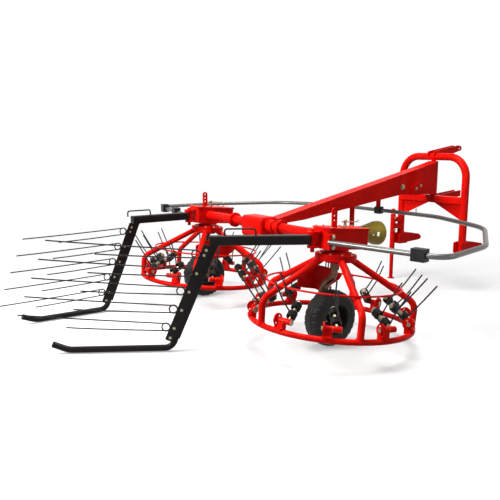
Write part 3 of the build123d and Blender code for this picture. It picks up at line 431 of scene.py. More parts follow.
def black_plastic():
    """The moulded clamp blocks on the guard rail."""
    return moulded("black moulded plastic", (0.005, 0.005, 0.005), (0.012, 0.012, 0.012), 0.38)


FINISHES = {
    "red_paint": red_paint(),
    "black_paint": black_paint(),
    "spring_steel": spring_paint(),
    "grey_rim": rim_paint(),
    "galvanised_tube": galvanised(),
    "zinc_steel": zinc_plate(),
    "worn_steel": worn_steel(),
    "tyre_rubber": tyre_rubber(),
    "yellow_plastic": yellow_plastic(),
    "black_plastic": black_plastic(),
}
print(len(FINISHES), "finishes")

# %% [markdown]
# Each node of the construction model names its own material slot in the record, so one loop dresses
# the whole machine. A node that a later step replaces keeps its finish too: it is simply hidden.

# %% Dress the construction model
SLOT_OF_NODE = {row["node"]: row["material_slot"] for row in frame["record"]["subparts"]}


def dress(node_object, slot_name):
    """Give a construction node the finish of its slot."""
    node_object.data.materials.clear()
    node_object.data.materials.append(FINISHES[slot_name])


for node_name, node_object in frame["nodes"].items():
    dress(node_object, SLOT_OF_NODE[node_name])
print(len(frame["nodes"]), "construction nodes dressed")

# %% [markdown]
# Almost everything on the machine is one of four forms: a tube that follows a bent route, a body
# turned on a lathe, a flat plate with rounded edges, or a bolt. Each could be made with Blender's
# curves and modifiers. Here each is a function of two parameters worked out as whole arrays, because
# a formula keeps every tube truly round and lets one line make fifty bolts. A shape is a pair of
# arrays, its points and its four-cornered faces, so shapes can be turned, repeated and joined before
# Blender sees any of them.

# %% Grids, tubes and turned bodies
WELD = 2e-6
ARC_STEP = radians(9)


def grid_faces(rows, columns, ring_rows=False, ring_columns=False):
    """Faces of a grid numbered row by row; a ring side joins its last line to its first."""
    row, column = np.meshgrid(
        np.arange(rows if ring_rows else rows - 1),
        np.arange(columns if ring_columns else columns - 1),
        indexing="ij",
    )
    next_row, next_column = (row + 1) % rows, (column + 1) % columns
    corners = (
        row * columns + column,
        row * columns + next_column,
        next_row * columns + next_column,
        next_row * columns + column,
    )
    return np.stack(corners, -1).reshape(-1, 4)


def unit(vectors):
    """Each vector divided by its own length."""
    vectors = np.asarray(vectors, float)
    return vectors / np.linalg.norm(vectors, axis=-1, keepdims=True)


def route(points, radii, step=ARC_STEP):
    """A route of straight runs joined by arcs: at each corner the arc starts where it touches both runs,
    so its ends lie radius times the tangent of half the turn from the corner."""
    points = np.asarray(points, float)
    radii = np.broadcast_to(radii, len(points) - 2)
    stretches = [points[:1]]
    for before, corner, after, radius in zip(points[:-2], points[1:-1], points[2:], radii):
        back, ahead = unit(before - corner), unit(after - corner)
        turn = pi - np.arccos(np.clip(back @ ahead, -1, 1))
        if radius <= 0 or turn < 1e-6:
            stretches.append(corner[None])
            continue
        reach = radius * tan(turn / 2)
        centre = corner + unit(back + ahead) * radius / cos(turn / 2)
        angles = np.linspace(0, turn, max(2, int(turn / step)) + 1)[:, None]
        first = corner + back * reach - centre
        stretches.append(centre + first * np.cos(angles) - back * radius * np.sin(angles))
    stretches.append(points[-1:])
    return np.concatenate(stretches)


def frames_along(path, up):
    """Two unit vectors across a route at each of its points: one square to up, the other square to both."""
    heading = unit(np.gradient(path, axis=0))
    across = unit(np.cross(heading, np.broadcast_to(up, heading.shape)))
    return across, np.cross(across, heading)


def carried(path, outline, up, capped=True):
    """An outline of (across, upwards) points carried along a route, closed at both ends by a middle point."""
    path = np.asarray(path, float)
    outline = np.asarray(outline, float)
    across, lift = frames_along(path, up)
    if outline.ndim == 2:
        outline = np.broadcast_to(outline, (len(path), *outline.shape))
    rings = (
        path[:, None]
        + across[:, None] * outline[..., :1]
        + lift[:, None] * outline[..., 1:]
    )
    if capped:
        ends = rings.mean(1, keepdims=True).repeat(rings.shape[1], 1)
        rings = np.concatenate((ends[:1], rings, ends[-1:]))
    rows, columns = rings.shape[:2]
    return rings.reshape(-1, 3), grid_faces(rows, columns, ring_columns=True)


def circle(radius, sides):
    """Points on a circle: radius times the cosine and sine of evenly spaced angles."""
    angle = np.arange(sides) * 2 * pi / sides
    return radius * np.stack((np.cos(angle), np.sin(angle)), -1)


def tube(path, radius, up=(0, 0, 1), sides=20):
    """A round bar along a route, its ends rounded off by one smaller ring each."""
    path = np.asarray(path, float)
    edge = 0.12 * radius
    heading = unit(np.stack((path[1] - path[0], path[-1] - path[-2])))
    inner = np.concatenate((path[:1] + heading[0] * edge, path[1:-1], path[-1:] - heading[1] * edge))
    path = np.concatenate((path[:1], inner, path[-1:]))
    shares = np.ones(len(path))
    shares[[0, -1]] = 0.88
    return carried(path, circle(radius, sides) * shares[:, None, None], up)


def ring(radius, tube_radius, height, around=96, sides=20):
    """A round bar bent to a full circle: a circle of tube radius turned about Z at the ring's radius."""
    turn = (np.arange(around) * 2 * pi / around)[:, None]
    section = circle(tube_radius, sides)
    reach = radius + section[None, :, 0]
    level = 0 * turn + height + section[None, :, 1]
    points = np.stack((reach * np.cos(turn), reach * np.sin(turn), level), -1)
    return points.reshape(-1, 3), grid_faces(around, sides, ring_rows=True, ring_columns=True)


def turned(profile, sides=48, closed=False):
    """A profile of (radius, height) turned about Z: it starts and ends on the axis, or is closed."""
    profile = np.asarray(profile, float)
    angle = (np.arange(sides) * 2 * pi / sides)[:, None]
    radius, height = profile[None, :, 0], profile[None, :, 1]
    points = np.stack((radius * np.cos(angle), radius * np.sin(angle), height + 0 * angle), -1)
    return points.reshape(-1, 3), grid_faces(sides, len(profile), ring_rows=True, ring_columns=closed)


def eased(profile, radius, arc=3):
    """A profile with each inner corner cut to a small arc, so that the turned edge catches the light."""
    profile = np.asarray(profile, float)
    spans = np.linalg.norm(np.diff(profile, axis=0), axis=1)
    room = np.minimum(spans[:-1], spans[1:]) * 0.45
    flat = np.concatenate((profile, np.zeros((len(profile), 1))), 1)
    back, ahead = unit(flat[:-2] - flat[1:-1]), unit(flat[2:] - flat[1:-1])
    half_turn = (pi - np.arccos(np.clip((back * ahead).sum(1), -1, 1))) / 2
    allowed = np.minimum(radius, room / np.maximum(np.tan(half_turn), 1e-6))
    return route(flat, allowed, step=pi / 2 / arc)[:, :2]


def round_bar(radius, low, high, ease, sides):
    """A solid round bar about Z between two heights, the edges of its ends eased."""
    return turned(eased(((0, low), (radius, low), (radius, high), (0, high)), ease), sides)


def sleeve(inner, outer, low, high, sides):
    """A plain hollow tube about Z between two heights, with square ends."""
    corners = ((inner, low), (outer, low), (outer, high), (inner, high))
    return turned(np.array(corners), sides, closed=True)


print("an arc takes a point each", round(ARC_STEP * 180 / pi), "degrees")

# %% [markdown]
# Sheet parts, fasteners and welds need three more forms. A plate's outline is seldom a rectangle, so
# it is an outline in layers rather than a cube with a bevel. A bolt's head is a turned body whose
# radius depends on the angle. A weld bead is a thin bar whose radius swells and shrinks, as each drop
# of metal leaves a ripple.

# %% Plates, bolts and welds
def rounded(corners, radius, arc=4):
    """A closed flat outline whose corners are arcs of one radius."""
    corners = np.asarray(corners, float)
    flat = np.concatenate((corners, np.zeros((len(corners), 1))), 1)
    middle = (flat[:1] + flat[-1:]) / 2
    return route(np.concatenate((middle, flat, middle)), radius, step=pi / 2 / arc)[:-1, :2]


def rounded_box(half_across, half_up, radius, arc=4):
    """A rectangle about the origin with rolled corners."""
    across, up = half_across, half_up
    return rounded(((-across, -up), (across, -up), (across, up), (-across, up)), radius, arc)


def plate(outline, thickness, edge=0.0012):
    """A flat plate about Z 0: its outline is drawn in by the edge at both faces, which gives a soft rim.
    The outline has to be seen whole from its middle, because each face is a fan about that point."""
    outline = np.asarray(outline, float)
    middle = outline.mean(0)
    inset = middle + (outline - middle) * (1 - edge / np.linalg.norm(outline - middle, axis=1, keepdims=True))
    half = thickness / 2
    levels_up = ((middle + 0 * outline, -half), (inset, -half), (outline, edge - half))
    rows = levels_up + ((outline, half - edge), (inset, half), (middle + 0 * outline, half))
    points = np.stack([np.concatenate((flat, np.full((len(flat), 1), height)), 1) for flat, height in rows])
    return points.reshape(-1, 3), grid_faces(len(rows), len(outline), ring_columns=True)


def bolt(size, head=0.65, washer=1.25, shank=0.0, sides=24):
    """A hexagon head on a washer, its face at Z 0. At each angle the hexagon's radius is half its width
    across flats divided by the cosine of the angle from the nearest flat's middle."""
    flat = 0.8 * size
    angle = (np.arange(sides) * 2 * pi / sides)[:, None]
    hexagon = flat / np.cos((angle % (pi / 3)) - pi / 6)
    rim = washer * size
    thick = 0.16 * size
    top = thick + head * size
    rows = (
        (0 * angle, -shank),
        (0 * angle + size / 2, -shank),
        (0 * angle + size / 2, 0.0),
        (0 * angle + rim, 0.0),
        (0 * angle + rim, thick),
        (hexagon, thick),
        (hexagon, top - 0.12 * size),
        (0 * angle + 0.93 * flat, top),
        (0 * angle, top),
    )
    radius = np.concatenate([row for row, _ in rows], 1)
    height = np.array([level for _, level in rows])[None]
    points = np.stack((radius * np.cos(angle), radius * np.sin(angle), height + 0 * angle), -1)
    return points.reshape(-1, 3), grid_faces(sides, len(rows), ring_rows=True)


def weld(path, radius=0.0034, up=(0, 0, 1), pitch=0.006, sides=8):
    """A weld bead: a thin bar whose radius swells and shrinks once for each drop of the arc."""
    path = np.asarray(path, float)
    gaps = np.linalg.norm(np.diff(path, axis=0), axis=1)
    along = np.concatenate(([0], np.cumsum(gaps)))
    places = np.linspace(0, along[-1], max(4, int(along[-1] / pitch * 3)))
    bead = np.stack([np.interp(places, along, path[:, i]) for i in range(3)], -1)
    swell = radius * (1 + 0.16 * np.cos(2 * pi * places / pitch))
    return carried(bead, circle(1.0, sides) * swell[:, None, None], up)


def loop_points(centre, first, second, count=48):
    """A full circle or ellipse round a centre: the first arm times the cosine of the angle, plus the
    second arm times its sine."""
    angle = np.linspace(0, 2 * pi, count + 1)[:, None]
    return np.asarray(centre) + np.asarray(first) * np.cos(angle) + np.asarray(second) * np.sin(angle)


def squared(path, middle, reach, swell):
    """A circle made a square with cut corners: its points move away from the middle by the swell and
    are held within the reach along each axis."""
    reach = np.asarray(reach, float)
    return middle + np.clip((path - middle) * swell, -reach, reach)


print("points in a bolt", len(bolt(1.0)[0]))

# %% [markdown]
# A shape is made upright at the origin and still has to be put on the machine. Turning the finished
# object would do for a picture, but here every piece has to stand unturned at the origin. So the
# points themselves are carried by a matrix.

# %% Placing shapes
def moved(shape, matrix):
    """A shape carried by a four by four matrix."""
    points, faces = shape
    matrix = np.asarray(matrix, float)
    return points @ matrix[:3, :3].T + matrix[:3, 3], faces


def repeated(shape, matrices):
    """One copy of a shape for each matrix, as one shape."""
    points, faces = shape
    matrices = np.asarray(matrices, float)
    copies = np.einsum("kij,nj->kni", matrices[:, :3, :3], points) + matrices[:, None, :3, 3]
    shift = np.arange(len(matrices))[:, None, None] * len(points)
    return copies.reshape(-1, 3), (faces[None] + shift).reshape(-1, 4)


def joined(*shapes):
    """Several shapes as one."""
    starts = np.cumsum([0] + [len(points) for points, _ in shapes[:-1]])
    points = np.concatenate([points for points, _ in shapes])
    return points, np.concatenate([faces + start for (_, faces), start in zip(shapes, starts)])


def seat(place, normal, along=(0, 0, 1)):
    """The matrix that stands a shape's Z on a surface: its origin at a place, its Z along the normal."""
    normal = unit(normal)
    along = np.asarray(along, float)
    if abs(normal @ unit(along)) > 0.99:
        along = np.array((1.0, 0.0, 0.0)) if abs(normal[0]) < 0.9 else np.array((0.0, 1.0, 0.0))
    first = unit(along - normal * (along @ normal))
    matrix = np.eye(4)
    matrix[:3, :3] = np.stack((first, np.cross(normal, first), normal), -1)
    matrix[:3, 3] = place
    return matrix


def spin(degrees_round, about=(0, 0, 1)):
    """The matrix of a turn about an axis through the origin."""
    return np.array(Matrix.Rotation(radians(degrees_round), 4, Vector(about)))


def bolts(size, places, normal, **sizes):
    """The same bolt at each place, all heads facing along one normal."""
    return repeated(bolt(size, **sizes), [seat(place, normal) for place in places])


print("seated on a face towards +X, a shape's Z points along", seat((0, 0, 0), (1, 0, 0))[:3, 2])

# %% [markdown]
# Two functions end the row. One turns a new shape into a piece of the machine. The other takes a
# construction node whose form is right and whose edges are too sharp, and bevels a copy of it,
# because a real edge always has some width that catches the light.

# %% From arrays to a piece
def build(name, shape, body, slot_name, replaced=(), sharp=38.0):
    """Make a mesh of a shape, merge what coincides, face it outwards, shade it and let it ride."""
    points, faces = shape
    mesh = bpy.data.meshes.new(name)
    mesh.from_pydata(points.tolist(), [], faces.tolist())
    form = bmesh.new()
    form.from_mesh(mesh)
    bmesh.ops.remove_doubles(form, verts=form.verts, dist=WELD)
    bmesh.ops.recalc_face_normals(form, faces=form.faces)
    form.to_mesh(mesh)
    form.free()
    mesh.shade_smooth()
    mesh.set_sharp_from_angle(angle=radians(sharp))
    mesh.materials.append(FINISHES[slot_name])
    made = bpy.data.objects.new(name, mesh)
    bpy.context.scene.collection.objects.link(made)
    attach(made, body)
    if replaced:
        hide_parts(*replaced)
    PIECES[name] = made
    return made


def softened(node_name, edge, slot_name=None):
    """A copy of a construction node with rounded edges: its triangles are merged, its flat faces made
    whole, and a bevel is worked along every edge that turns by more than thirty degrees."""
    source = frame["nodes"][node_name]
    mesh = bpy.data.meshes.new(node_name + "_dressed")
    form = bmesh.new()
    form.from_mesh(source.data)
    bmesh.ops.remove_doubles(form, verts=form.verts, dist=5e-6)
    bmesh.ops.dissolve_limit(form, angle_limit=radians(0.6), verts=form.verts, edges=form.edges)
    bmesh.ops.recalc_face_normals(form, faces=form.faces)
    form.to_mesh(mesh)
    form.free()
    for layer in ("custom_normal", "sharp_face"):
        if layer in mesh.attributes:
            mesh.attributes.remove(mesh.attributes[layer])
    mesh.shade_smooth()
    mesh.set_sharp_from_angle(angle=radians(30))
    slot_name = slot_name or SLOT_OF_NODE[node_name]
    mesh.materials.append(FINISHES[slot_name])
    made = bpy.data.objects.new(node_name + "_dressed", mesh)
    bpy.context.scene.collection.objects.link(made)
    bevel = made.modifiers.new("edges", "BEVEL")
    bevel.width = edge
    bevel.segments = 2
    bevel.limit_method = "ANGLE"
    bevel.angle_limit = radians(30)
    bevel.harden_normals = True
    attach(made, BODY_OF_NODE[node_name])
    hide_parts(node_name)
    PIECES[made.name] = made
    return made


BODIES = frame["record"]["behaviour"]["bodies"]
BODY_OF_NODE = {node: body for body, nodes in BODIES.items() for node in nodes}
PIECES = {}

# %% [markdown]
# The frame says where every body turns. A rotor's own frame stands on its wheel axle with Z up its
# leaning axis, and the left rotor is the right one in a mirror, set a little further round. So each
# rotor piece is worked out once, upright and at the origin, and two matrices put it in its places.

# %% Places of the bodies
ROTOR_TURN = {"right": 0.0, "left": -26.5}
GATE_SWING = {"right": -31.0, "left": 0.0}
MIRROR = np.diag((-1.0, 1.0, 1.0, 1.0))


def lean_matrix(side_name):
    """From an upright frame on the wheel's axle to the rotor's leaning axis and its place."""
    joint = joints[f"rotor_{side_name}_spin"]
    return seat(joint["pos_m"], joint["axis"], (1, 0, 0))


def hand(side):
    """The left side is the right one seen in a mirror."""
    return MIRROR if side < 0 else np.eye(4)


def rotor_matrix(side_name, side):
    """From a rotor's own frame to the machine: a mirror on the left, its turn, then its lean and place."""
    return lean_matrix(side_name) @ spin(ROTOR_TURN[side_name]) @ hand(side)


def wheel_matrix(side_name, side):
    """From a wheel's own frame, its axle along X and its outer face towards X, to the machine."""
    matrix = hand(side).copy()
    matrix[:3, 3] = joints[f"wheel_{side_name}_roll"]["pos_m"]
    return matrix


def gate_matrix(side_name):
    """From a gate's own frame, its pivot on Z, the ground at Z 0 and its arm along -Y, to the machine."""
    matrix = spin(GATE_SWING[side_name])
    x, y, _ = joints[f"gate_{side_name}_swing"]["pos_m"]
    matrix[:3, 3] = (x, y, 0)
    return matrix


ROTOR = {name: rotor_matrix(name, side) for name, side in SIDES}
WHEEL = {name: wheel_matrix(name, side) for name, side in SIDES}
GATE = {name: gate_matrix(name) for name, _ in SIDES}
print("axle line at", round(AXLE_Y, 4))

# %% [markdown]
# The basket is what the eye meets first: a ring of tube a metre across, five spokes bent down to it
# and a thin hoop laid over them. The spokes' bends must be true arcs, since each shows its highlight
# sliding round the bend. A weld bead closes each joint. Where a spoke lands on the ring the bead has
# to climb over a tube, so its height at each angle is that of the tube's own surface.

# %% Rotor baskets
RING_RADIUS, RING_TUBE, RING_HEIGHT = 0.485, 0.017, -0.016
SPOKE_TUBE, SPOKE_BEND = 0.020, 0.070
SPOKE_START, SPOKE_KNEE = (0.082, 0.372), (0.490, 0.134)
SPOKE_ANGLES = 48.5 + 72.0 * np.arange(5)
HOOP_RADIUS, HOOP_ROD, WELD_SINK = 0.402, 0.006, 0.0015
DISC_RADIUS, DISC_THICKNESS, DISC_HEIGHT = 0.125, 0.010, 0.384
SKIRT_WALL, SKIRT_FLOOR = 0.006, 0.353
HUB_RADIUS = 0.064

spoke_fall = (SPOKE_START[1] - SPOKE_KNEE[1]) / (SPOKE_KNEE[0] - SPOKE_START[0])
hoop_lift = (SPOKE_TUBE + HOOP_ROD - WELD_SINK) * (1 + spoke_fall**2) ** 0.5
HOOP_HEIGHT = SPOKE_START[1] - spoke_fall * (HOOP_RADIUS - SPOKE_START[0]) + hoop_lift


def spoke_shape():
    """One spoke with its welds: at the disc, under the hoop and where it lands on the ring."""
    start, knee = (SPOKE_START[0], 0, SPOKE_START[1]), (SPOKE_KNEE[0], 0, SPOKE_KNEE[1])
    corners = (start, knee, (RING_RADIUS, 0, RING_HEIGHT))
    bar = tube(route(corners, SPOKE_BEND), SPOKE_TUBE, up=(0, 1, 0), sides=28)
    angle = np.linspace(0, 2 * pi, 49)
    reach = SPOKE_TUBE + 0.001
    over = np.sqrt(np.maximum(0, (RING_TUBE + 0.001) ** 2 - (reach * np.cos(angle)) ** 2))
    foot = np.stack((RING_RADIUS + reach * np.cos(angle), reach * np.sin(angle), RING_HEIGHT + over), -1)
    edge = np.linspace(SPOKE_START[0], DISC_RADIUS, 9)
    level = np.full(9, DISC_HEIGHT)
    beads = [weld(foot)]
    for across in (-1, 1):
        beads.append(weld(np.stack((edge, np.full(9, across * SPOKE_TUBE * 0.8), level), -1)))
        crossing = np.array((HOOP_RADIUS, across * 0.014, HOOP_HEIGHT - HOOP_ROD))
        beads.append(weld(crossing + np.array(((-0.012, 0, 0.004), (0, 0, 0.0), (0.012, 0, -0.004))), 0.003))
    return joined(bar, *beads)


def disc_shape():
    """The basket's top disc, eased at its rim, with the hole that the hub's barrel fills, and the skirt
    that is welded under its edge and closes over the spokes' ends."""
    half = DISC_THICKNESS / 2
    outline = ((HUB_RADIUS, -half), (DISC_RADIUS, -half), (DISC_RADIUS, half), (HUB_RADIUS, half))
    profile = eased(np.array(((HUB_RADIUS, 0), *outline, (HUB_RADIUS, 0))), 0.0015)
    profile[:, 1] += DISC_HEIGHT + half
    inner, top = DISC_RADIUS - SKIRT_WALL, DISC_HEIGHT + 0.001
    skirt = sleeve(inner, DISC_RADIUS, SKIRT_FLOOR, top, 72)
    return joined(turned(profile[:-1], 72, closed=True), skirt)


basket = joined(
    ring(RING_RADIUS, RING_TUBE, RING_HEIGHT, 144, 24),
    ring(HOOP_RADIUS, HOOP_ROD, HOOP_HEIGHT, 120, 12),
    repeated(spoke_shape(), [spin(angle) for angle in SPOKE_ANGLES]),
    disc_shape(),
)
for side_name, side in SIDES:
    node = f"rotor_{side_name}_basket"
    build(f"basket_{side_name}", moved(basket, ROTOR[side_name]), f"rotor_{side_name}", "red_paint", (node,))
print("basket points", len(basket[0]))

# %% [markdown]
# A tine unit is one length of spring wire wound on a post that leans in over the basket: a tine, a coil,
# the link past the collar, a second coil and the second tine. A coil is a helix, and the wire leaves it
# along its own tangent, so that there is no kink where the winding ends. So a tine and its coil are one
# route, and the tube is carried along it once.

# %% Spring tines
PIVOT_X, PIVOT_RISE = -0.010, 0.062
EYE_START, EYE_LENGTH, EYE_RADIUS, EYE_BORE = 0.0223, 0.050, 0.0174, 0.0085
UNIT_TILT, UNIT_LAG = radians(56), radians(15)
COIL_RADIUS, COIL_LENGTH, COIL_STARTS = 0.028, 0.052, (0.025, 0.093)
TINE_WIRE, TINE_REACH, TINE_LIFT, TINE_ELBOW = 0.0045, 0.250, 0.049, 0.045
TINE_SET_SHARE, TINE_SET = 0.42, 0.0090
UNIT_ANGLES = (18.5, 51.5)
WIRE_RADIUS = COIL_RADIUS - TINE_WIRE
post_way = (-sin(UNIT_TILT) * cos(UNIT_LAG), -sin(UNIT_TILT) * sin(UNIT_LAG), cos(UNIT_TILT))
POST = seat((PIVOT_X, EYE_START + EYE_LENGTH / 2, PIVOT_RISE), post_way, (1, 0, 0))


def half_spring(start, steps=18):
    """One tine and its coil about the post's Z: each turn climbs by the wire's own thickness, and the tine
    leaves the lowest turn where it heads outwards. A small set in the tine bends it out near its middle."""
    climb = COIL_LENGTH - 3 * TINE_WIRE
    turn = np.linspace(0, climb / (2 * TINE_WIRE) * 2 * pi, int(climb / (2 * TINE_WIRE) * steps))
    height = start + 2 * TINE_WIRE + turn / (2 * pi) * 2 * TINE_WIRE
    coil = np.stack((WIRE_RADIUS * np.cos(turn + pi / 2), WIRE_RADIUS * np.sin(turn + pi / 2), height), -1)
    first = coil[0]
    elbow = first + (TINE_ELBOW, 0, 0)
    tip = first + (TINE_REACH, TINE_LIFT, 0)
    middle = elbow + (tip - elbow) * TINE_SET_SHARE - (0, TINE_SET, 0)
    tine = route((tip, middle, elbow, first), (0.25, 0.11), radians(3))
    return np.concatenate((tine[:-1], coil))


def spring_shape():
    """The whole wire of a unit, in the post's frame: both halves, and the link between the two coils."""
    halves = [half_spring(start) for start in COIL_STARTS]
    low, high = COIL_STARTS[0] + COIL_LENGTH - 2 * TINE_WIRE, COIL_STARTS[1] + 2 * TINE_WIRE
    link = np.array([(0, -WIRE_RADIUS, z) for z in np.linspace(low, high, 4)])
    wires = [tube(half, TINE_WIRE, up=(0, 0, 1), sides=8) for half in halves]
    return joined(*wires, tube(link, TINE_WIRE, up=(1, 0, 0), sides=8))


def unit_matrices():
    """Where the tine units stand: on the ring, turned so that their X points outwards."""
    out = np.eye(4)
    out[:3, 3] = (RING_RADIUS, 0, RING_HEIGHT)
    return [spin(angle + step) @ out for angle in SPOKE_ANGLES for step in UNIT_ANGLES]


def eye_shape():
    """The painted eye at the post's foot: a short tube about Y, eased at both ends."""
    half, outer, bore = EYE_LENGTH / 2, EYE_RADIUS, EYE_BORE
    corners = ((bore, 0), (bore, -half), (outer, -half), (outer, half), (bore, half), (bore, 0))
    eye = turned(eased(corners, 0.002)[:-1], 32, closed=True)
    return moved(eye, seat((PIVOT_X, EYE_START + half, PIVOT_RISE), (0, 1, 0)))


UNITS = unit_matrices()
eyes = repeated(eye_shape(), UNITS)
springs = repeated(moved(spring_shape(), POST), UNITS)
for side_name, side in SIDES:
    body = f"rotor_{side_name}"
    build(f"springs_{side_name}", moved(springs, ROTOR[side_name]), body, "spring_steel", (f"{body}_tines",))
    build(f"eyes_{side_name}", moved(eyes, ROTOR[side_name]), body, "red_paint")
print("spring points", len(springs[0]))

# %% [markdown]
# The wheels are small implement tyres on pressed rims. A tyre's section is one smooth curve, and its
# tread is a change of that curve's radius: at each point of the grid, the depth of a groove is worked
# out from the angle round the wheel and the distance across it. A texture would do in the middle of
# the tread, but not at the shoulder, where the blocks are seen against the light.

# %% Tyres
TYRE_RADIUS, TYRE_HALF, RIM_RADIUS = 0.1715, 0.063, 0.086
SIDEWALL_DROP, TREAD_DROP = 0.079, 0.032
GROOVE_DEPTH, LUGS_ROUND = 0.0045, 26
WALL_RING_RADIUS, WALL_RING_WIDTH, WALL_RING_RISE = 0.118, 0.003, 0.0012


def smooth_step(value, low, high):
    """0 below low, 1 above high, and a smooth rise between."""
    t = np.clip((value - low) / (high - low), 0, 1)
    return t * t * (3 - 2 * t)


def tyre_section(count=34):
    """Half of the section from the crown to the bead, as (across, radius): a superellipse between both."""
    t = np.linspace(0, pi / 2, count)
    across = TYRE_HALF * np.sin(t) ** 0.80
    height = TYRE_RADIUS - SIDEWALL_DROP
    return across, height + (TYRE_RADIUS - height) * np.cos(t) ** 0.35


def tyre_shape(around=312):
    """The tyre: crown, blocks, a raised ring on each sidewall, and the bead closed inside the rim."""
    across, radius = tyre_section()
    across = np.concatenate((-across[::-1], across[1:]))
    radius = np.concatenate((radius[::-1], radius[1:]))
    bead = ((TYRE_HALF * 0.94, RIM_RADIUS + 0.004), (TYRE_HALF * 0.8, RIM_RADIUS), (0, RIM_RADIUS))
    inner = np.array(bead)
    across = np.concatenate((across, inner[:, 0], -inner[1::-1, 0]))
    radius = np.concatenate((radius, inner[:, 1], inner[1::-1, 1]))
    turn = (np.arange(around) * 2 * pi / around)[:, None]
    place = np.abs(across) / TYRE_HALF
    on_tread = radius > TYRE_RADIUS - TREAD_DROP
    slant = 1.4 * place
    wave = np.cos(LUGS_ROUND * turn + slant * 2.2 + np.where(across < 0, pi, 0))
    cross_groove = smooth_step(wave, 0.45, 0.75) * smooth_step(place, 0.28, 0.36)
    rib_groove = np.exp(-(((place - 0.30) / 0.045) ** 2))
    depth = np.maximum(cross_groove, rib_groove) * on_tread * GROOVE_DEPTH
    ring_share = np.exp(-(((radius - WALL_RING_RADIUS) / WALL_RING_WIDTH) ** 2)) * (place > 0.8)
    reach = radius[None] - depth
    side_push = across[None] * (1 + WALL_RING_RISE * ring_share / TYRE_HALF)
    points = np.stack((side_push + 0 * turn, reach * np.cos(turn), reach * np.sin(turn)), -1)
    return points.reshape(-1, 3), grid_faces(around, len(across), ring_rows=True, ring_columns=True)


tyre = tyre_shape()
for side_name, side in SIDES:
    body = f"wheel_{side_name}"
    placed = moved(tyre, WHEEL[side_name])
    build(f"tyre_{side_name}", placed, body, "tyre_rubber", (f"{body}_tyre",), sharp=50)
print("tyre points", len(tyre[0]))

# %% [markdown]
# The rim is pressed from sheet, so its section is a closed outline about as thick as the sheet, turned
# about the axle. One profile then gives the flanges, the bead seats and the dished disc, with no join
# between them. The hub is a second turned body.

# %% Rims
RIM_HALF, RIM_WALL, RIM_DISC = 0.046, 0.004, -0.008
WHEEL_HUB_RADIUS, WHEEL_HUB_HALF, AXLE_RADIUS = 0.029, 0.048, 0.0125
HUB_BORE, HUB_NECK, HUB_SHOULDER = 0.0132, 0.0225, 0.036
RIM_BOLT, RIM_BOLT_RADIUS, RIM_BOLT_TURN = 0.0085, 0.0335, 0.4
ALONG_X = seat((0, 0, 0), (1, 0, 0), (0, 0, 1))


def rim_shape():
    """The pressed rim about X: flanges, bead seats and a dished disc, with its hub."""
    outer, inner = RIM_RADIUS - 0.0003, RIM_RADIUS - 0.0043
    outline = (
        (outer, -RIM_HALF), (outer, -RIM_HALF + 0.006), (outer - 0.004, -0.024), (outer - 0.004, 0.024),
        (outer, RIM_HALF - 0.006), (outer, RIM_HALF), (inner, RIM_HALF), (inner - 0.005, 0.022),
        (inner - 0.007, RIM_DISC + 0.012), (inner - 0.016, RIM_DISC),
        (0.044, RIM_DISC + 0.002), (0.038, RIM_DISC + 0.008), (0.026, RIM_DISC + 0.008),
        (0.026, RIM_DISC + 0.004), (0.040, RIM_DISC + 0.002), (0.046, RIM_DISC - RIM_WALL),
        (inner - 0.014, RIM_DISC - RIM_WALL), (inner - 0.006, RIM_DISC - 0.010), (inner, -RIM_HALF),
    )
    shell = turned(np.array(outline), 64, closed=True)
    barrel = (
        (HUB_BORE, -WHEEL_HUB_HALF), (HUB_NECK, -WHEEL_HUB_HALF), (WHEEL_HUB_RADIUS, -HUB_SHOULDER),
        (WHEEL_HUB_RADIUS, HUB_SHOULDER), (HUB_NECK, WHEEL_HUB_HALF), (HUB_BORE, WHEEL_HUB_HALF),
    )
    hub = turned(np.array(barrel), 40, closed=True)
    return moved(joined(shell, hub), ALONG_X)


rim = rim_shape()
rim_turns = np.arange(4) * pi / 2 + RIM_BOLT_TURN
rim_places = [(RIM_DISC + 0.008, RIM_BOLT_RADIUS * cos(t), RIM_BOLT_RADIUS * sin(t)) for t in rim_turns]
rim_bolts = bolts(RIM_BOLT, rim_places, (1, 0, 0))
for side_name, side in SIDES:
    body = f"wheel_{side_name}"
    build(f"rim_{side_name}", moved(rim, WHEEL[side_name]), body, "grey_rim", (f"{body}_rim",))
    build(f"rim_bolts_{side_name}", moved(rim_bolts, WHEEL[side_name]), body, "zinc_steel")
print("rim points", len(rim[0]))

# %% [markdown]
# Each leg is a steel tube that comes down through the hollow hub, steps sideways round the tyre in an
# S-bend and ends in the boss that holds the axle. It is the one dark, worn part under the rotor.

# %% Legs
COLUMN_RADIUS, LEG_TUBE, LEG_OFFSET = 0.028, 0.022, 0.095
LEG_TOP, LEG_BEND_TOP, LEG_BEND_LOW, LEG_BEND = 0.415, 0.255, 0.180, 0.045
BOSS_RADIUS, BOSS_HALF, AXLE_END = 0.031, 0.023, 0.062


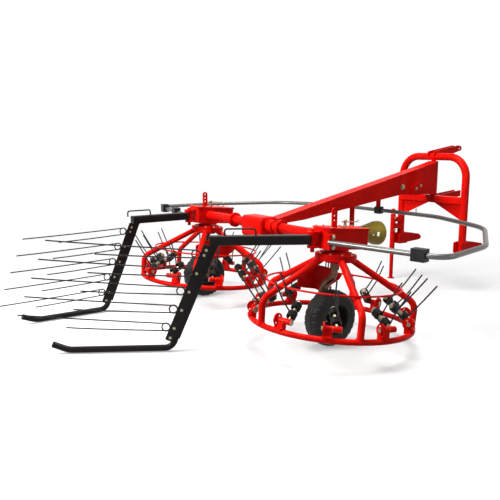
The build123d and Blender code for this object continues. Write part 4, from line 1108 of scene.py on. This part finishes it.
def leg_shape():
    """The right leg in its rotor's frame: column, S-bend, boss, the axle and a bead round the column."""
    foot = LEG_BEND_TOP + LEG_BEND
    column = round_bar(COLUMN_RADIUS, foot - 0.004, LEG_TOP, 0.003, 40)
    corners = ((0, 0, foot), (0, 0, LEG_BEND_TOP), (-LEG_OFFSET, 0, LEG_BEND_LOW), (-LEG_OFFSET, 0, 0))
    bend = tube(route(corners, LEG_BEND), LEG_TUBE, up=(0, 1, 0), sides=28)
    along_axle = seat((-LEG_OFFSET, 0, 0), (1, 0, 0))
    boss = moved(round_bar(BOSS_RADIUS, -BOSS_HALF, BOSS_HALF, 0.003, 40), along_axle)
    axle = moved(round_bar(AXLE_RADIUS, 0, LEG_OFFSET + AXLE_END, 0.002, 28), along_axle)
    reach = LEG_TUBE + 0.002
    collar = weld(loop_points((0, 0, foot - 0.003), (reach, 0, 0), (0, reach, 0)), 0.003)
    return joined(column, bend, boss, axle, collar)


leg = leg_shape()
for side_name, side in SIDES:
    placed = moved(leg, lean_matrix(side_name) @ hand(side))
    build(f"leg_tube_{side_name}", placed, "frame", "worn_steel", (f"leg_{side_name}",))
print("leg points", len(leg[0]))

# %% [markdown]
# The swath gates are black square tube, cut and welded at an angle. A square tube isn't a box: its
# corners are rolled to a radius of about twice the wall, and that soft edge is what shows. So the
# section is a rounded square, carried along each straight run.

# %% Gate arms and posts
GATES = {"right": (0.598, 0.590), "left": (0.478, 0.490)}
PIVOT_Z = 0.661
ARM_HALF, ARM_CORNER, POST_HALF, POST_CORNER = 0.028, 0.007, 0.0225, 0.006
BARREL_RADIUS, BARREL_HALF, GATE_PIN_RADIUS = 0.025, 0.036, 0.0125
POST_LEAN, POST_FOOT_Z, POST_SETBACK = radians(22.7), 0.092, 0.004


def square(half, corner, arc=5):
    """A square section with rolled corners."""
    return rounded_box(half, half, corner, arc)


def post_line(reach):
    """Top and foot of a gate's post in the gate's own frame."""
    top_z = PIVOT_Z - ARM_HALF
    top_y = -reach + POST_HALF + POST_SETBACK
    foot_y = top_y - (top_z - POST_FOOT_Z) * tan(POST_LEAN)
    return np.array((0, top_y, top_z)), np.array((0, foot_y, POST_FOOT_Z))


def barrel_shape():
    """The short red tube that turns on the pivot pin."""
    bore = GATE_PIN_RADIUS + 0.0003
    low, high = PIVOT_Z - BARREL_HALF, PIVOT_Z + BARREL_HALF
    return sleeve(bore, BARREL_RADIUS, low, high, 40)


def arm_shape(reach):
    """Arm and post, with the welds at both ends of the arm."""
    top, foot = post_line(reach)
    end = np.array((0, -reach, PIVOT_Z))
    start = np.array((0, -BARREL_RADIUS * 0.8, PIVOT_Z))
    edge = np.array((0, -0.0015, 0))
    arm_run = np.array((start, start + edge, end - edge, end))
    shares = np.array((1, 1, 1, 0.955))
    arm = carried(arm_run, square(ARM_HALF, ARM_CORNER) * shares[:, None, None], (0, 0, 1))
    sunk = top + unit(top - foot) * 0.020
    tip = foot + unit(foot - top) * 0.0015
    post_run = np.array((sunk, (sunk + foot) / 2, foot, tip))
    post = carried(post_run, square(POST_HALF, POST_CORNER) * shares[:, None, None], (1, 0, 0))
    slant = 1 / cos(POST_LEAN)
    middle = top - (0, 0, 0.0008)
    seam = loop_points(middle, (POST_HALF, 0, 0), (0, POST_HALF * slant, 0), 40)
    beads = [weld(squared(seam, middle, (POST_HALF, POST_HALF * slant, 0), 1.32), 0.003)]
    for x in (-BARREL_RADIUS * 0.97, BARREL_RADIUS * 0.97):
        side_seam = [(x, -0.010, PIVOT_Z + rise) for rise in (-ARM_HALF, ARM_HALF)]
        beads.append(weld(np.array(side_seam), 0.003, up=(0, 1, 0)))
    return joined(arm, post, *beads)


for side_name, (reach, _) in GATES.items():
    arm = moved(arm_shape(reach), GATE[side_name])
    build(f"gate_arm_{side_name}", arm, f"gate_{side_name}", "black_paint", (f"gate_{side_name}_arm",))
    barrel = moved(barrel_shape(), GATE[side_name])
    build(f"gate_barrel_{side_name}", barrel, f"gate_{side_name}", "red_paint")
print("gate arms reach", [reach for reach, _ in GATES.values()])

# %% [markdown]
# The rest of a gate is bent or bolted on: a skid that slides on the ground, a thin handle to swing the
# gate by, and a flat bar that clamps the loops of the rods. The bar runs a little past the post's foot,
# as on the real gate, where the construction model ends it just above.

# %% Gate skids, handles and tine bars
SKID_TUBE, SKID_Z, SKID_HEEL = 0.019, 0.023, 0.062
SKID_HEEL_SHARE, SKID_TIP_LENGTH, SKID_TIP_RISE = 0.6, 0.092, 0.036
HANDLE_ROD, HANDLE_START, HANDLE_LENGTH, HANDLE_RISE = 0.005, 0.330, 0.180, 0.038
BAR_WIDTH, BAR_THICKNESS, BAR_OFFSET = 0.052, 0.006, 0.032
BAR_START, BAR_PAST_FOOT, BAR_CORNER = 0.010, 0.034, 0.004
BAR_BOLT, BAR_BOLTS = 0.007, (0.040, 0.072, 0.187, 0.304, 0.421, 0.538, 0.600)


def skid_shape(reach, length):
    """The skid: a tube bent from the post's foot to the ground run, its tip turned up and rounded."""
    _, foot = post_line(reach)
    heel = foot - (0, (POST_FOOT_Z - SKID_Z) * tan(POST_LEAN), POST_FOOT_Z - SKID_Z)
    bend = foot[1] - SKID_HEEL * SKID_HEEL_SHARE - length
    corners = (foot, heel, (0, bend, SKID_Z), (0, bend - SKID_TIP_LENGTH, SKID_Z + SKID_TIP_RISE))
    return tube(route(corners, (SKID_HEEL, SKID_HEEL * 2)), SKID_TUBE, up=(1, 0, 0), sides=24)


def handle_shape():
    """The grab handle: a thin rod bent to a flat bow on top of the arm, welded at both feet."""
    top = PIVOT_Z + ARM_HALF
    near, far = -HANDLE_START, -HANDLE_START - HANDLE_LENGTH
    corners = ((0, near, top), (0, near, top + HANDLE_RISE), (0, far, top + HANDLE_RISE), (0, far, top))
    bow = tube(route(corners, HANDLE_ROD * 3), HANDLE_ROD, up=(1, 0, 0), sides=14)
    reach = HANDLE_ROD + 0.0005
    rounds = [loop_points((0, y, top + 0.0008), (reach, 0, 0), (0, reach, 0), 24) for y in (near, far)]
    return joined(bow, *[weld(path, 0.002) for path in rounds])


def bar_shape(reach):
    """The flat bar behind the post that the loops are clamped to, with its matrix and half its length."""
    top, foot = post_line(reach)
    down = unit(foot - top)
    back = np.array((0, down[2], -down[1]))
    length = np.linalg.norm(foot - top)
    x = POST_HALF + 0.0003 + BAR_THICKNESS / 2
    half = (length + BAR_PAST_FOOT - BAR_START) / 2
    matrix = np.eye(4)
    matrix[:3, :3] = np.stack((down, back, (1, 0, 0)), -1)
    matrix[:3, 3] = top + down * (BAR_START + half) + back * BAR_OFFSET + (x, 0, 0)
    outline = rounded_box(half, BAR_WIDTH / 2, BAR_CORNER)
    return moved(plate(outline, BAR_THICKNESS), matrix), matrix, half


for side_name, (reach, skid_length) in GATES.items():
    body = f"gate_{side_name}"
    matrix = GATE[side_name]
    skid = moved(skid_shape(reach, skid_length), matrix)
    build(f"gate_skid_tube_{side_name}", skid, body, "black_paint", (f"{body}_skid",))
    build(f"gate_grab_{side_name}", moved(handle_shape(), matrix), body, "black_paint", (f"{body}_handle",))
    bar, bar_matrix, half = bar_shape(reach)
    build(f"gate_bar_{side_name}", moved(bar, matrix), body, "black_paint", (f"{body}_tine_bar",))
    places = [(along - BAR_START - half, 0, BAR_THICKNESS / 2) for along in BAR_BOLTS]
    heads = moved(bolts(BAR_BOLT, places, (0, 0, 1)), matrix @ bar_matrix)
    build(f"gate_bolts_{side_name}", heads, body, "zinc_steel")
print(len(BAR_BOLTS), "bolts down each bar")

# %% [markdown]
# The gates' rods are spring wire too: each pair starts as a loop of one and a half turns on the bar, so
# that a rod that catches a stone can give. Out from the loop they are almost straight. The small droop
# of each is the curve of a bar held at one end, a third power of the distance. Their lengths, slopes
# and loops are those of the real gates. The construction model's are longer and mostly steeper.

# %% Gate tines
GATE_WIRE, LOOP_RADIUS = 0.004, 0.0235
TINE_FIRST, TINE_PITCH, TINE_COUNT = 0.085, 0.117, 5
RODS = {
    # side: (1 for the upper or -1 for the lower rod of each pair, length, rise)
    "right": ((1, 0.845, radians(4.5)), (-1, 0.575, radians(3.0))),
    "left": ((1, 0.710, radians(-1.5)), (-1, 0.470, radians(-2.0))),
}
LOOP_GAP, ROD_DROOP = 0.020, 0.006
LOOP_BACK = BAR_OFFSET + BAR_WIDTH / 2 + LOOP_GAP


def gate_wire_route(y, z, length, rise, up):
    """Half of a loop of one and a half turns, and one rod: three quarters of a turn that start behind
    the loop and end at its top or foot, then straight back. The wire moves sideways by its own
    thickness in each turn."""
    turn = np.linspace(-pi, pi / 2, 34)
    climb = (turn - pi / 2) * GATE_WIRE / pi
    x = POST_HALF - GATE_WIRE + (climb if up > 0 else -3 * GATE_WIRE - climb)
    loop = np.stack((x, y + LOOP_RADIUS * np.cos(turn), z + up * LOOP_RADIUS * np.sin(turn)), -1)
    along = np.linspace(0, 1, 14)[1:, None] * length
    droop = ROD_DROOP * ((along / length) ** 3 - along / length)
    rod = loop[-1] + along * np.array((0, -cos(rise), sin(rise))) + droop * np.array((0, 0, 1.0))
    return np.concatenate((loop, rod))


def gate_tines_shape(reach, rods):
    """Five pairs of rods down the post, each with its loop."""
    top, foot = post_line(reach)
    wires = []
    for step in range(TINE_COUNT):
        along = TINE_FIRST + step * TINE_PITCH
        y = top[1] - along * sin(POST_LEAN) - LOOP_BACK * cos(POST_LEAN)
        z = top[2] - along * cos(POST_LEAN) + LOOP_BACK * sin(POST_LEAN)
        for up, length, rise in rods:
            wires.append(tube(gate_wire_route(y, z, length, rise, up), GATE_WIRE, up=(1, 0, 0), sides=10))
    return joined(*wires)


for side_name, (reach, _) in GATES.items():
    rods = moved(gate_tines_shape(reach, RODS[side_name]), GATE[side_name])
    build(f"gate_rods_{side_name}", rods, f"gate_{side_name}", "spring_steel", (f"gate_{side_name}_tines",))
print(TINE_COUNT, "pairs of rods on each gate")

# %% [markdown]
# The headstock is the frame that the tractor carries. Its hoop is one bent tube, with a box section
# welded across it and two plates that stiffen the corners. It swings on a pin in the drawbar's
# sleeve, so it is a body of its own, and everything bolted to it rides with it.

# %% Headstock
HEAD_Y = joints["headstock_swivel"]["pos_m"][1]
HOOP_HALF, HOOP_TUBE, HOOP_TOP, HOOP_FOOT, HOOP_CORNER = 0.330, 0.031, 1.108, 0.330, 0.170
CROSS_Z, CROSS_HALF, GUSSET_THICKNESS, GUSSET_FOOT = 0.750, 0.030, 0.008, 0.594
PIVOT_RADIUS = 0.020


def headstock_shape():
    """Hoop, crossbar, gussets and swivel pin, with the weld beads where they meet."""
    ends = ((-HOOP_HALF, HOOP_FOOT), (-HOOP_HALF, HOOP_TOP), (HOOP_HALF, HOOP_TOP), (HOOP_HALF, HOOP_FOOT))
    corners = [(x, HEAD_Y, z) for x, z in ends]
    hoop = tube(route(corners, HOOP_CORNER, radians(6)), HOOP_TUBE, up=(0, 1, 0), sides=32)
    run = np.array([(x, HEAD_Y, CROSS_Z) for x in (-HOOP_HALF, 0, HOOP_HALF)])
    parts = [hoop, carried(run, square(CROSS_HALF, 0.006), (0, 0, 1))]
    pin = ((0, CROSS_Z), (PIVOT_RADIUS, CROSS_Z), (PIVOT_RADIUS, HOOP_TOP), (0, HOOP_TOP))
    parts.append(moved(turned(np.array(pin), 32), seat((0, HEAD_Y, 0), (0, 0, 1))))
    for side in (-1, 1):
        outer, inner = side * HOOP_HALF, side * (HOOP_HALF - HOOP_TUBE - 0.006)
        floor = CROSS_Z - CROSS_HALF
        root = floor + 0.004
        outline = ((outer, root), (outer, GUSSET_FOOT), (inner, GUSSET_FOOT), (side * 0.020, root))
        flat = plate(rounded(outline, 0.004), GUSSET_THICKNESS)
        parts.append(moved(flat, seat((0, HEAD_Y, 0), (0, -1, 0), (1, 0, 0))))
        face = side * (HOOP_HALF - HOOP_TUBE * 0.8)
        middle = np.array((face, HEAD_Y, CROSS_Z))
        bead_path = loop_points(middle, (0, 0.034, 0), (0, 0, 0.034), 36)
        bead_path = squared(bead_path, middle, (0, CROSS_HALF, CROSS_HALF), 1.25)
        parts.append(weld(bead_path, 0.0035, up=(1, 0, 0)))
        for depth in (-1, 1):
            y = HEAD_Y + depth * (GUSSET_THICKNESS / 2 + 0.001)
            seam = [(x, y, floor) for x in (side * 0.03, inner, side * (HOOP_HALF - HOOP_TUBE))]
            parts.append(weld(np.array(seam), 0.003, up=(0, 1, 0)))
    return joined(*parts)


build("headstock_hoop", headstock_shape(), "headstock", "red_paint", ("headstock_frame",))
for node in ("top_link_bracket", "middle_bracket", "lower_link_bracket_left", "lower_link_bracket_right"):
    softened(node, 0.0015)
softened("stand_sleeve", 0.0012)
print("headstock pin at y", round(HEAD_Y, 4))

# %% [markdown]
# The guard rail is a galvanised tube bent round the front of the machine, in two mirrored halves. Each
# half is a circle carried along the construction's own corners, with bends so large that the tube
# keeps its round section.

# %% Guard rails
RAIL_RADIUS = 0.015
RAIL_CORNERS = (
    (0.846, -0.112, 0.656), (1.545, 0.020, 0.656), (1.460, 0.470, 0.662),
    (1.085, 1.010, 0.678), (0.560, 1.192, 0.689), (0.0, 1.192, 0.689),
)
RAIL_BENDS = (0.095, 0.300, 0.420, 0.500)
for side_name, side in SIDES:
    corners = np.array(RAIL_CORNERS) * (side, 1, 1) + (0, AXLE_Y, 0)
    rail = tube(route(corners, RAIL_BENDS, radians(5)), RAIL_RADIUS, sides=24)
    build(f"rail_tube_{side_name}", rail, "frame", "galvanised_tube", (f"guard_rail_{side_name}",))
print("points in each half of the rail", len(rail[0]))

# %% [markdown]
# The drive comes in at the front through a yellow guard cone. The cone is a thin shell with windows,
# so its surface is a grid whose faces are left out where a window is, and Solidify gives it a wall.

# %% Drive cone
CONE_REAR, CONE_FRONT, CONE_LENGTH, CONE_WALL = 0.052, 0.096, 0.186, 0.003
CONE_FLARE, WINDOW_HALF = 0.8, 13
WINDOW_ROWS = ((0.34, 0.42), (0.55, 0.63))
DRIVE_REAR = np.array((0.0, AXLE_Y + 0.075, 0.610))
DRIVE_FRONT = np.array((0.0, AXLE_Y + 1.186, 0.503))
DRIVE_WAY = unit(DRIVE_FRONT - DRIVE_REAR)
DRIVE_LENGTH = np.linalg.norm(DRIVE_FRONT - DRIVE_REAR)


def on_drive(distance):
    """The matrix that stands a shape's Z on the drive's line, a distance along it."""
    return seat(DRIVE_REAR + DRIVE_WAY * distance, DRIVE_WAY, (1, 0, 0))


def cone_shape(around=96, along=40):
    """The cone's skin: it flares, has a shallow groove, and runs straight to a raised lip. Faces are
    left out within so many degrees of each quarter turn, in two rows, which makes eight windows."""
    angle = np.arange(around) * 2 * pi / around
    share = np.linspace(0, 1, along)
    angle, share = np.meshgrid(angle, share, indexing="ij")
    flare = np.clip(share / CONE_FLARE, 0, 1)
    radius = CONE_REAR + (CONE_FRONT - CONE_REAR) * flare
    radius = radius - 0.0016 * np.exp(-(((share - CONE_FLARE) / 0.02) ** 2))
    rim = 0.0014 * smooth_step(share, 0.955, 0.975)
    reach = radius + rim - CONE_WALL
    points = np.stack((reach * np.cos(angle), reach * np.sin(angle), share * CONE_LENGTH), -1).reshape(-1, 3)
    faces = grid_faces(around, along, ring_rows=True)
    middle = points[faces].mean(1)
    turn = (np.degrees(np.arctan2(middle[:, 1], middle[:, 0])) + 45) % 90 - 45
    height = middle[:, 2] / CONE_LENGTH
    window = np.zeros(len(faces), bool)
    for low, high in WINDOW_ROWS:
        window |= (np.abs(turn) < WINDOW_HALF) & (height > low) & (height < high)
    return points, faces[~window]


placed = moved(cone_shape(), on_drive(DRIVE_LENGTH - CONE_LENGTH))
cone = build("cone_skin", placed, "frame", "yellow_plastic", ("guard_cone",))
wall = cone.modifiers.new("wall", "SOLIDIFY")
wall.thickness = CONE_WALL
wall.offset = 1.0
print("drive is", round(float(DRIVE_LENGTH), 3), "long")

# %% [markdown]
# Inside the cone stands the shaft that the tractor turns, with six splines. Cutting them with a boolean
# would leave ragged flanks, so the radius of the section is a function of the angle instead.

# %% Splined shaft
SHAFT_START, SHAFT_END, SHAFT_RADIUS, SPLINE_DEPTH, SPLINES = 0.930, 1.0762, 0.01745, 0.0030, 6


def shaft_shape(around=96):
    """The splined stub of the drive: its radius steps in between the splines, and its ends are chamfered.
    The step is a smooth one of the cosine of six times the angle, so that each flank is nearly straight."""
    angle = np.arange(around) * 2 * pi / around
    groove = smooth_step(np.cos(SPLINES * angle), -0.15, 0.15) * SPLINE_DEPTH
    circles = np.stack((np.cos(angle), np.sin(angle)), -1)
    section = circles * (SHAFT_RADIUS - groove)[:, None]
    core = circles * (SHAFT_RADIUS - SPLINE_DEPTH - 0.0005)
    outline = np.stack((core, section, section, core))
    heights = (SHAFT_START, SHAFT_START + 0.002, SHAFT_END - 0.002, SHAFT_END)
    path = DRIVE_REAR + DRIVE_WAY * np.array(heights)[:, None]
    return carried(path, outline, (1, 0, 0))


build("shaft_splined", shaft_shape(), "frame", "zinc_steel", ("drive_shaft",))
print(SPLINES, "splines")

# %% [markdown]
# What is left is small, and none of it carries the shape, but without it every joint looks cast in one
# piece. The first are the bolts that close each gearbox and hold each basket's disc. They are placed
# in the rotor's own frame, because the gearbox leans with the rotor.

# %% Bolts of the gearboxes and hubs
LID_TOP, LID_BOLT = 0.552, 0.0075
LID_PLACES = [(x, y, LID_TOP) for x in (-0.068, 0.068) for y in (-0.115, -0.060, 0.075, 0.130, 0.180)]
DISC_BOLT_RADIUS, DISC_BOLT_COUNT = 0.110, 10
turns = np.arange(DISC_BOLT_COUNT) * 2 * pi / DISC_BOLT_COUNT
disc_top = DISC_HEIGHT + DISC_THICKNESS
turns = turns + radians(SPOKE_ANGLES[0])
disc_places = [(DISC_BOLT_RADIUS * cos(t), DISC_BOLT_RADIUS * sin(t), disc_top) for t in turns]
for side_name, side in SIDES:
    lid = moved(bolts(LID_BOLT, LID_PLACES, (0, 0, 1)), lean_matrix(side_name) @ hand(side))
    build(f"lid_bolts_{side_name}", lid, "frame", "zinc_steel")
    ring_of_bolts = moved(bolts(LID_BOLT, disc_places, (0, 0, 1)), ROTOR[side_name])
    build(f"disc_bolts_{side_name}", ring_of_bolts, f"rotor_{side_name}", "zinc_steel")
print(len(LID_PLACES), "bolts in each lid,", DISC_BOLT_COUNT, "in each disc")

# %% [markdown]
# The crossbeam is bolted together at two flanges and welded to its castings. A ring of six bolts looks
# outwards from both faces of each flange, and a bead goes round the beam at each change of width.

# %% Flanged joints and welds of the crossbeam
BEAM = np.array((0.0, AXLE_Y + 0.010, 0.662))
BEAM_RADIUS, NECK_RADIUS, BOX_HALF, NECK_END, BEAM_END = 0.033, 0.044, 0.120, 0.180, 0.675
FLANGES, FLANGE_HALF, FLANGE_BOLT, FLANGE_BOLT_RADIUS = (-0.310, 0.245), 0.0105, 0.007, 0.0435
flange_parts = []
for x in FLANGES:
    for way in (-1, 1):
        for t in np.arange(6) * pi / 3:
            y, z = FLANGE_BOLT_RADIUS * cos(t), FLANGE_BOLT_RADIUS * sin(t)
            place = seat(BEAM + (x + way * FLANGE_HALF, y, z), (way, 0, 0))
            flange_parts.append(moved(bolt(FLANGE_BOLT, washer=0.95), place))
build("flange_bolts", joined(*flange_parts), "frame", "red_paint")
beam_beads = []
for side in (-1, 1):
    for x, radius in ((BOX_HALF, NECK_RADIUS), (NECK_END, BEAM_RADIUS), (BEAM_END, BEAM_RADIUS)):
        path = loop_points(BEAM + (side * x, 0, 0), (0, radius + 0.001, 0), (0, 0, radius + 0.001), 64)
        beam_beads.append(weld(path, 0.0034, up=(1, 0, 0)))
build("beam_welds", joined(*beam_beads), "frame", "red_paint")
print(len(flange_parts), "flange bolts,", len(beam_beads), "beads")

# %% [markdown]
# The drawbar carries a small doubler plate with two bolts and a larger bolt behind it, all on its right
# side, and a bead over its top where it leaves the centre gearbox.

# %% Fittings of the drawbar
DRAWBAR_HALF = 0.050
DOUBLER_HALF, DOUBLER_THICKNESS, DOUBLER_CORNER = (0.080, 0.034), 0.008, 0.010
DOUBLER_PLACE, DOUBLER_WAY = (DRAWBAR_HALF + 0.0035, 1.345, 0.856), (0, 0.94, 0.34)
DRAWBAR_BOLTS = (
    # size, shank, place
    (0.018, 0.004, (DRAWBAR_HALF, 1.165, 0.870)),
    (0.010, 0.0, (DRAWBAR_HALF + 0.0075, 1.325, 0.850)),
    (0.010, 0.0, (DRAWBAR_HALF + 0.0075, 1.380, 0.872)),
)
ROOT_Y, ROOT_TOP, ROOT_LOW = -0.1525, 0.682, 0.653

doubler = plate(rounded_box(*DOUBLER_HALF, DOUBLER_CORNER), DOUBLER_THICKNESS)
build("drawbar_doubler", moved(doubler, seat(DOUBLER_PLACE, (1, 0, 0), DOUBLER_WAY)), "frame", "red_paint")
heads = [moved(bolt(size, shank=shank), seat(place, (1, 0, 0))) for size, shank, place in DRAWBAR_BOLTS]
build("drawbar_bolts", joined(*heads), "frame", "zinc_steel")
root = [(x, ROOT_Y, z) for x, z in (
    (-DRAWBAR_HALF, ROOT_LOW), (-DRAWBAR_HALF, ROOT_TOP), (DRAWBAR_HALF, ROOT_TOP), (DRAWBAR_HALF, ROOT_LOW),
)]
build("drawbar_weld", weld(np.array(root), 0.0036, up=(0, 1, 0)), "frame", "red_paint")
print(len(DRAWBAR_BOLTS), "bolts on the drawbar")

# %% [markdown]
# The rail is bolted to each gearbox by a foot, and hangs from the drawbar in a moulded clamp. The frame
# gives the boxes of foot and hanger, so bolts and clamp are placed from what they hold. Two bolts each
# hold the stand's sleeve and the top link's bracket to the headstock.

# %% Fittings of the rail, the stand and the top link
RAIL_FOOT_BOLT, RAIL_FOOT_INSET = 0.011, 0.013
HANGER_RAIL_Z, CLAMP_MARGIN, CLAMP_CORNER, CLAMP_LENGTH = 0.689, 0.0015, 0.008, 0.050
NUB_RADIUS, NUB_LENGTH, NUB_PLACE = 0.0035, 0.034, (0.377, 0.9505, 0.700)
STAND_BOLT, STAND_BOLT_XY, STAND_BOLT_HEIGHTS = 0.010, (-0.307, 1.4951), (0.450, 0.560)
LINK_BOLT, LINK_BOLT_X, LINK_BOLT_YZ = 0.016, 0.036, (1.602, 1.112)

for side_name, side in SIDES:
    low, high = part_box(f"rail_foot_{side_name}")
    face = high[0] if side > 0 else low[0]
    heights = (low[2] + RAIL_FOOT_INSET, high[2] - RAIL_FOOT_INSET)
    places = [(face, (low[1] + high[1]) / 2, z) for z in heights]
    build(f"rail_foot_bolts_{side_name}", bolts(RAIL_FOOT_BOLT, places, (side, 0, 0)), "frame", "zinc_steel")

hanger_low, hanger_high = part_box("rail_hanger")
half_y = (hanger_high[1] - hanger_low[1]) / 2 + CLAMP_MARGIN
half_z = HANGER_RAIL_Z - hanger_low[2] + CLAMP_MARGIN
clamp_middle = (0, (hanger_low[1] + hanger_high[1]) / 2, HANGER_RAIL_Z)
clamp = plate(rounded_box(half_y, half_z, CLAMP_CORNER), CLAMP_LENGTH)
build("hanger_clamp", moved(clamp, seat(clamp_middle, (1, 0, 0), (0, 1, 0))), "frame", "black_plastic")
nub = moved(round_bar(NUB_RADIUS, 0, NUB_LENGTH, 0.001, 16), seat(NUB_PLACE, (0, 0, 1)))
build("rail_nub", nub, "frame", "galvanised_tube")

stand_bolts = bolts(STAND_BOLT, [(*STAND_BOLT_XY, z) for z in STAND_BOLT_HEIGHTS], (1, 0, 0))
build("stand_bolts", stand_bolts, "headstock", "zinc_steel")
link_seats = [seat((side * LINK_BOLT_X, *LINK_BOLT_YZ), (side, 0, 0)) for side in (-1, 1)]
build("top_link_bolts", repeated(bolt(LINK_BOLT), link_seats), "headstock", "zinc_steel")
print("hanger clamp is", round(2 * half_y, 4), "by", round(2 * half_z, 4))

# %% [markdown]
# A small lever stands on each gearbox beside the height bar. It is turned at the post and bent at the
# rod, so it joins both kinds of shape, and leans with its gearbox.

# %% Levers beside the height bars
LEVER_X, LEVER_Y, LEVER_RISE, LEVER_REACH, LEVER_ROD = 0.024, 0.030, 0.034, 0.100, 0.0035


def lever_shape():
    """A locking lever in the rotor's leaning frame: a round post with a collar, and a rod forwards."""
    profile = (
        (0, -0.003), (0.013, -0.003), (0.013, 0.010), (0.009, 0.013),
        (0.009, 0.040), (0.011, 0.044), (0.006, 0.050), (0, 0.050),
    )
    post = moved(turned(np.array(profile), 28), seat((LEVER_X, LEVER_Y, LID_TOP), (0, 0, 1)))
    start = np.array((LEVER_X, LEVER_Y, LID_TOP + LEVER_RISE))
    tail, far, tip = (0, -0.028, 0), (0, LEVER_REACH, 0.002), (0, LEVER_REACH + 0.006, 0.014)
    corners = start + np.array((tail, (0, 0, 0), far, tip))
    return joined(post, tube(route(corners, 0.005), LEVER_ROD, up=(1, 0, 0), sides=12))


lever = lever_shape()
for side_name, side in SIDES:
    build(f"lever_{side_name}", moved(lever, lean_matrix(side_name) @ hand(side)), "frame", "zinc_steel")
print("lever points", len(lever[0]))

# %% [markdown]
# The remaining pieces are right as the construction has them, with their holes and slots. Drawing them
# again would only add faults, so each gets a copy with softened edges. The width of the edge follows
# the piece: three millimetres on the drawbar and the gear housings, two on the small blocks and about
# one on tube and sheet.

# %% Softened copies of the drilled and welded boxes
for node in ("crossbeam_left", "crossbeam_right", "drive_tube", "drive_strut", "stand_leg"):
    softened(node, 0.001)
softened("hitch_pins", 0.001, "red_paint")
for node in ("drawbar", "centre_gearbox", "gearbox_left", "gearbox_right", "bearing_housing"):
    softened(node, 0.003)
for node in ("height_bar_left", "height_bar_right", "rail_hanger", "rail_clamps"):
    softened(node, 0.002)
for node in ("rail_foot_left", "rail_foot_right"):
    softened(node, 0.002, "red_paint")
for side_name, _ in SIDES:
    softened(f"shield_{side_name}", 0.001)
    softened(f"rotor_{side_name}_brackets", 0.001)
    softened(f"rotor_{side_name}_carriers", 0.001)
    softened(f"rotor_{side_name}_hub", 0.0015)
print(len(PIECES), "pieces in all")
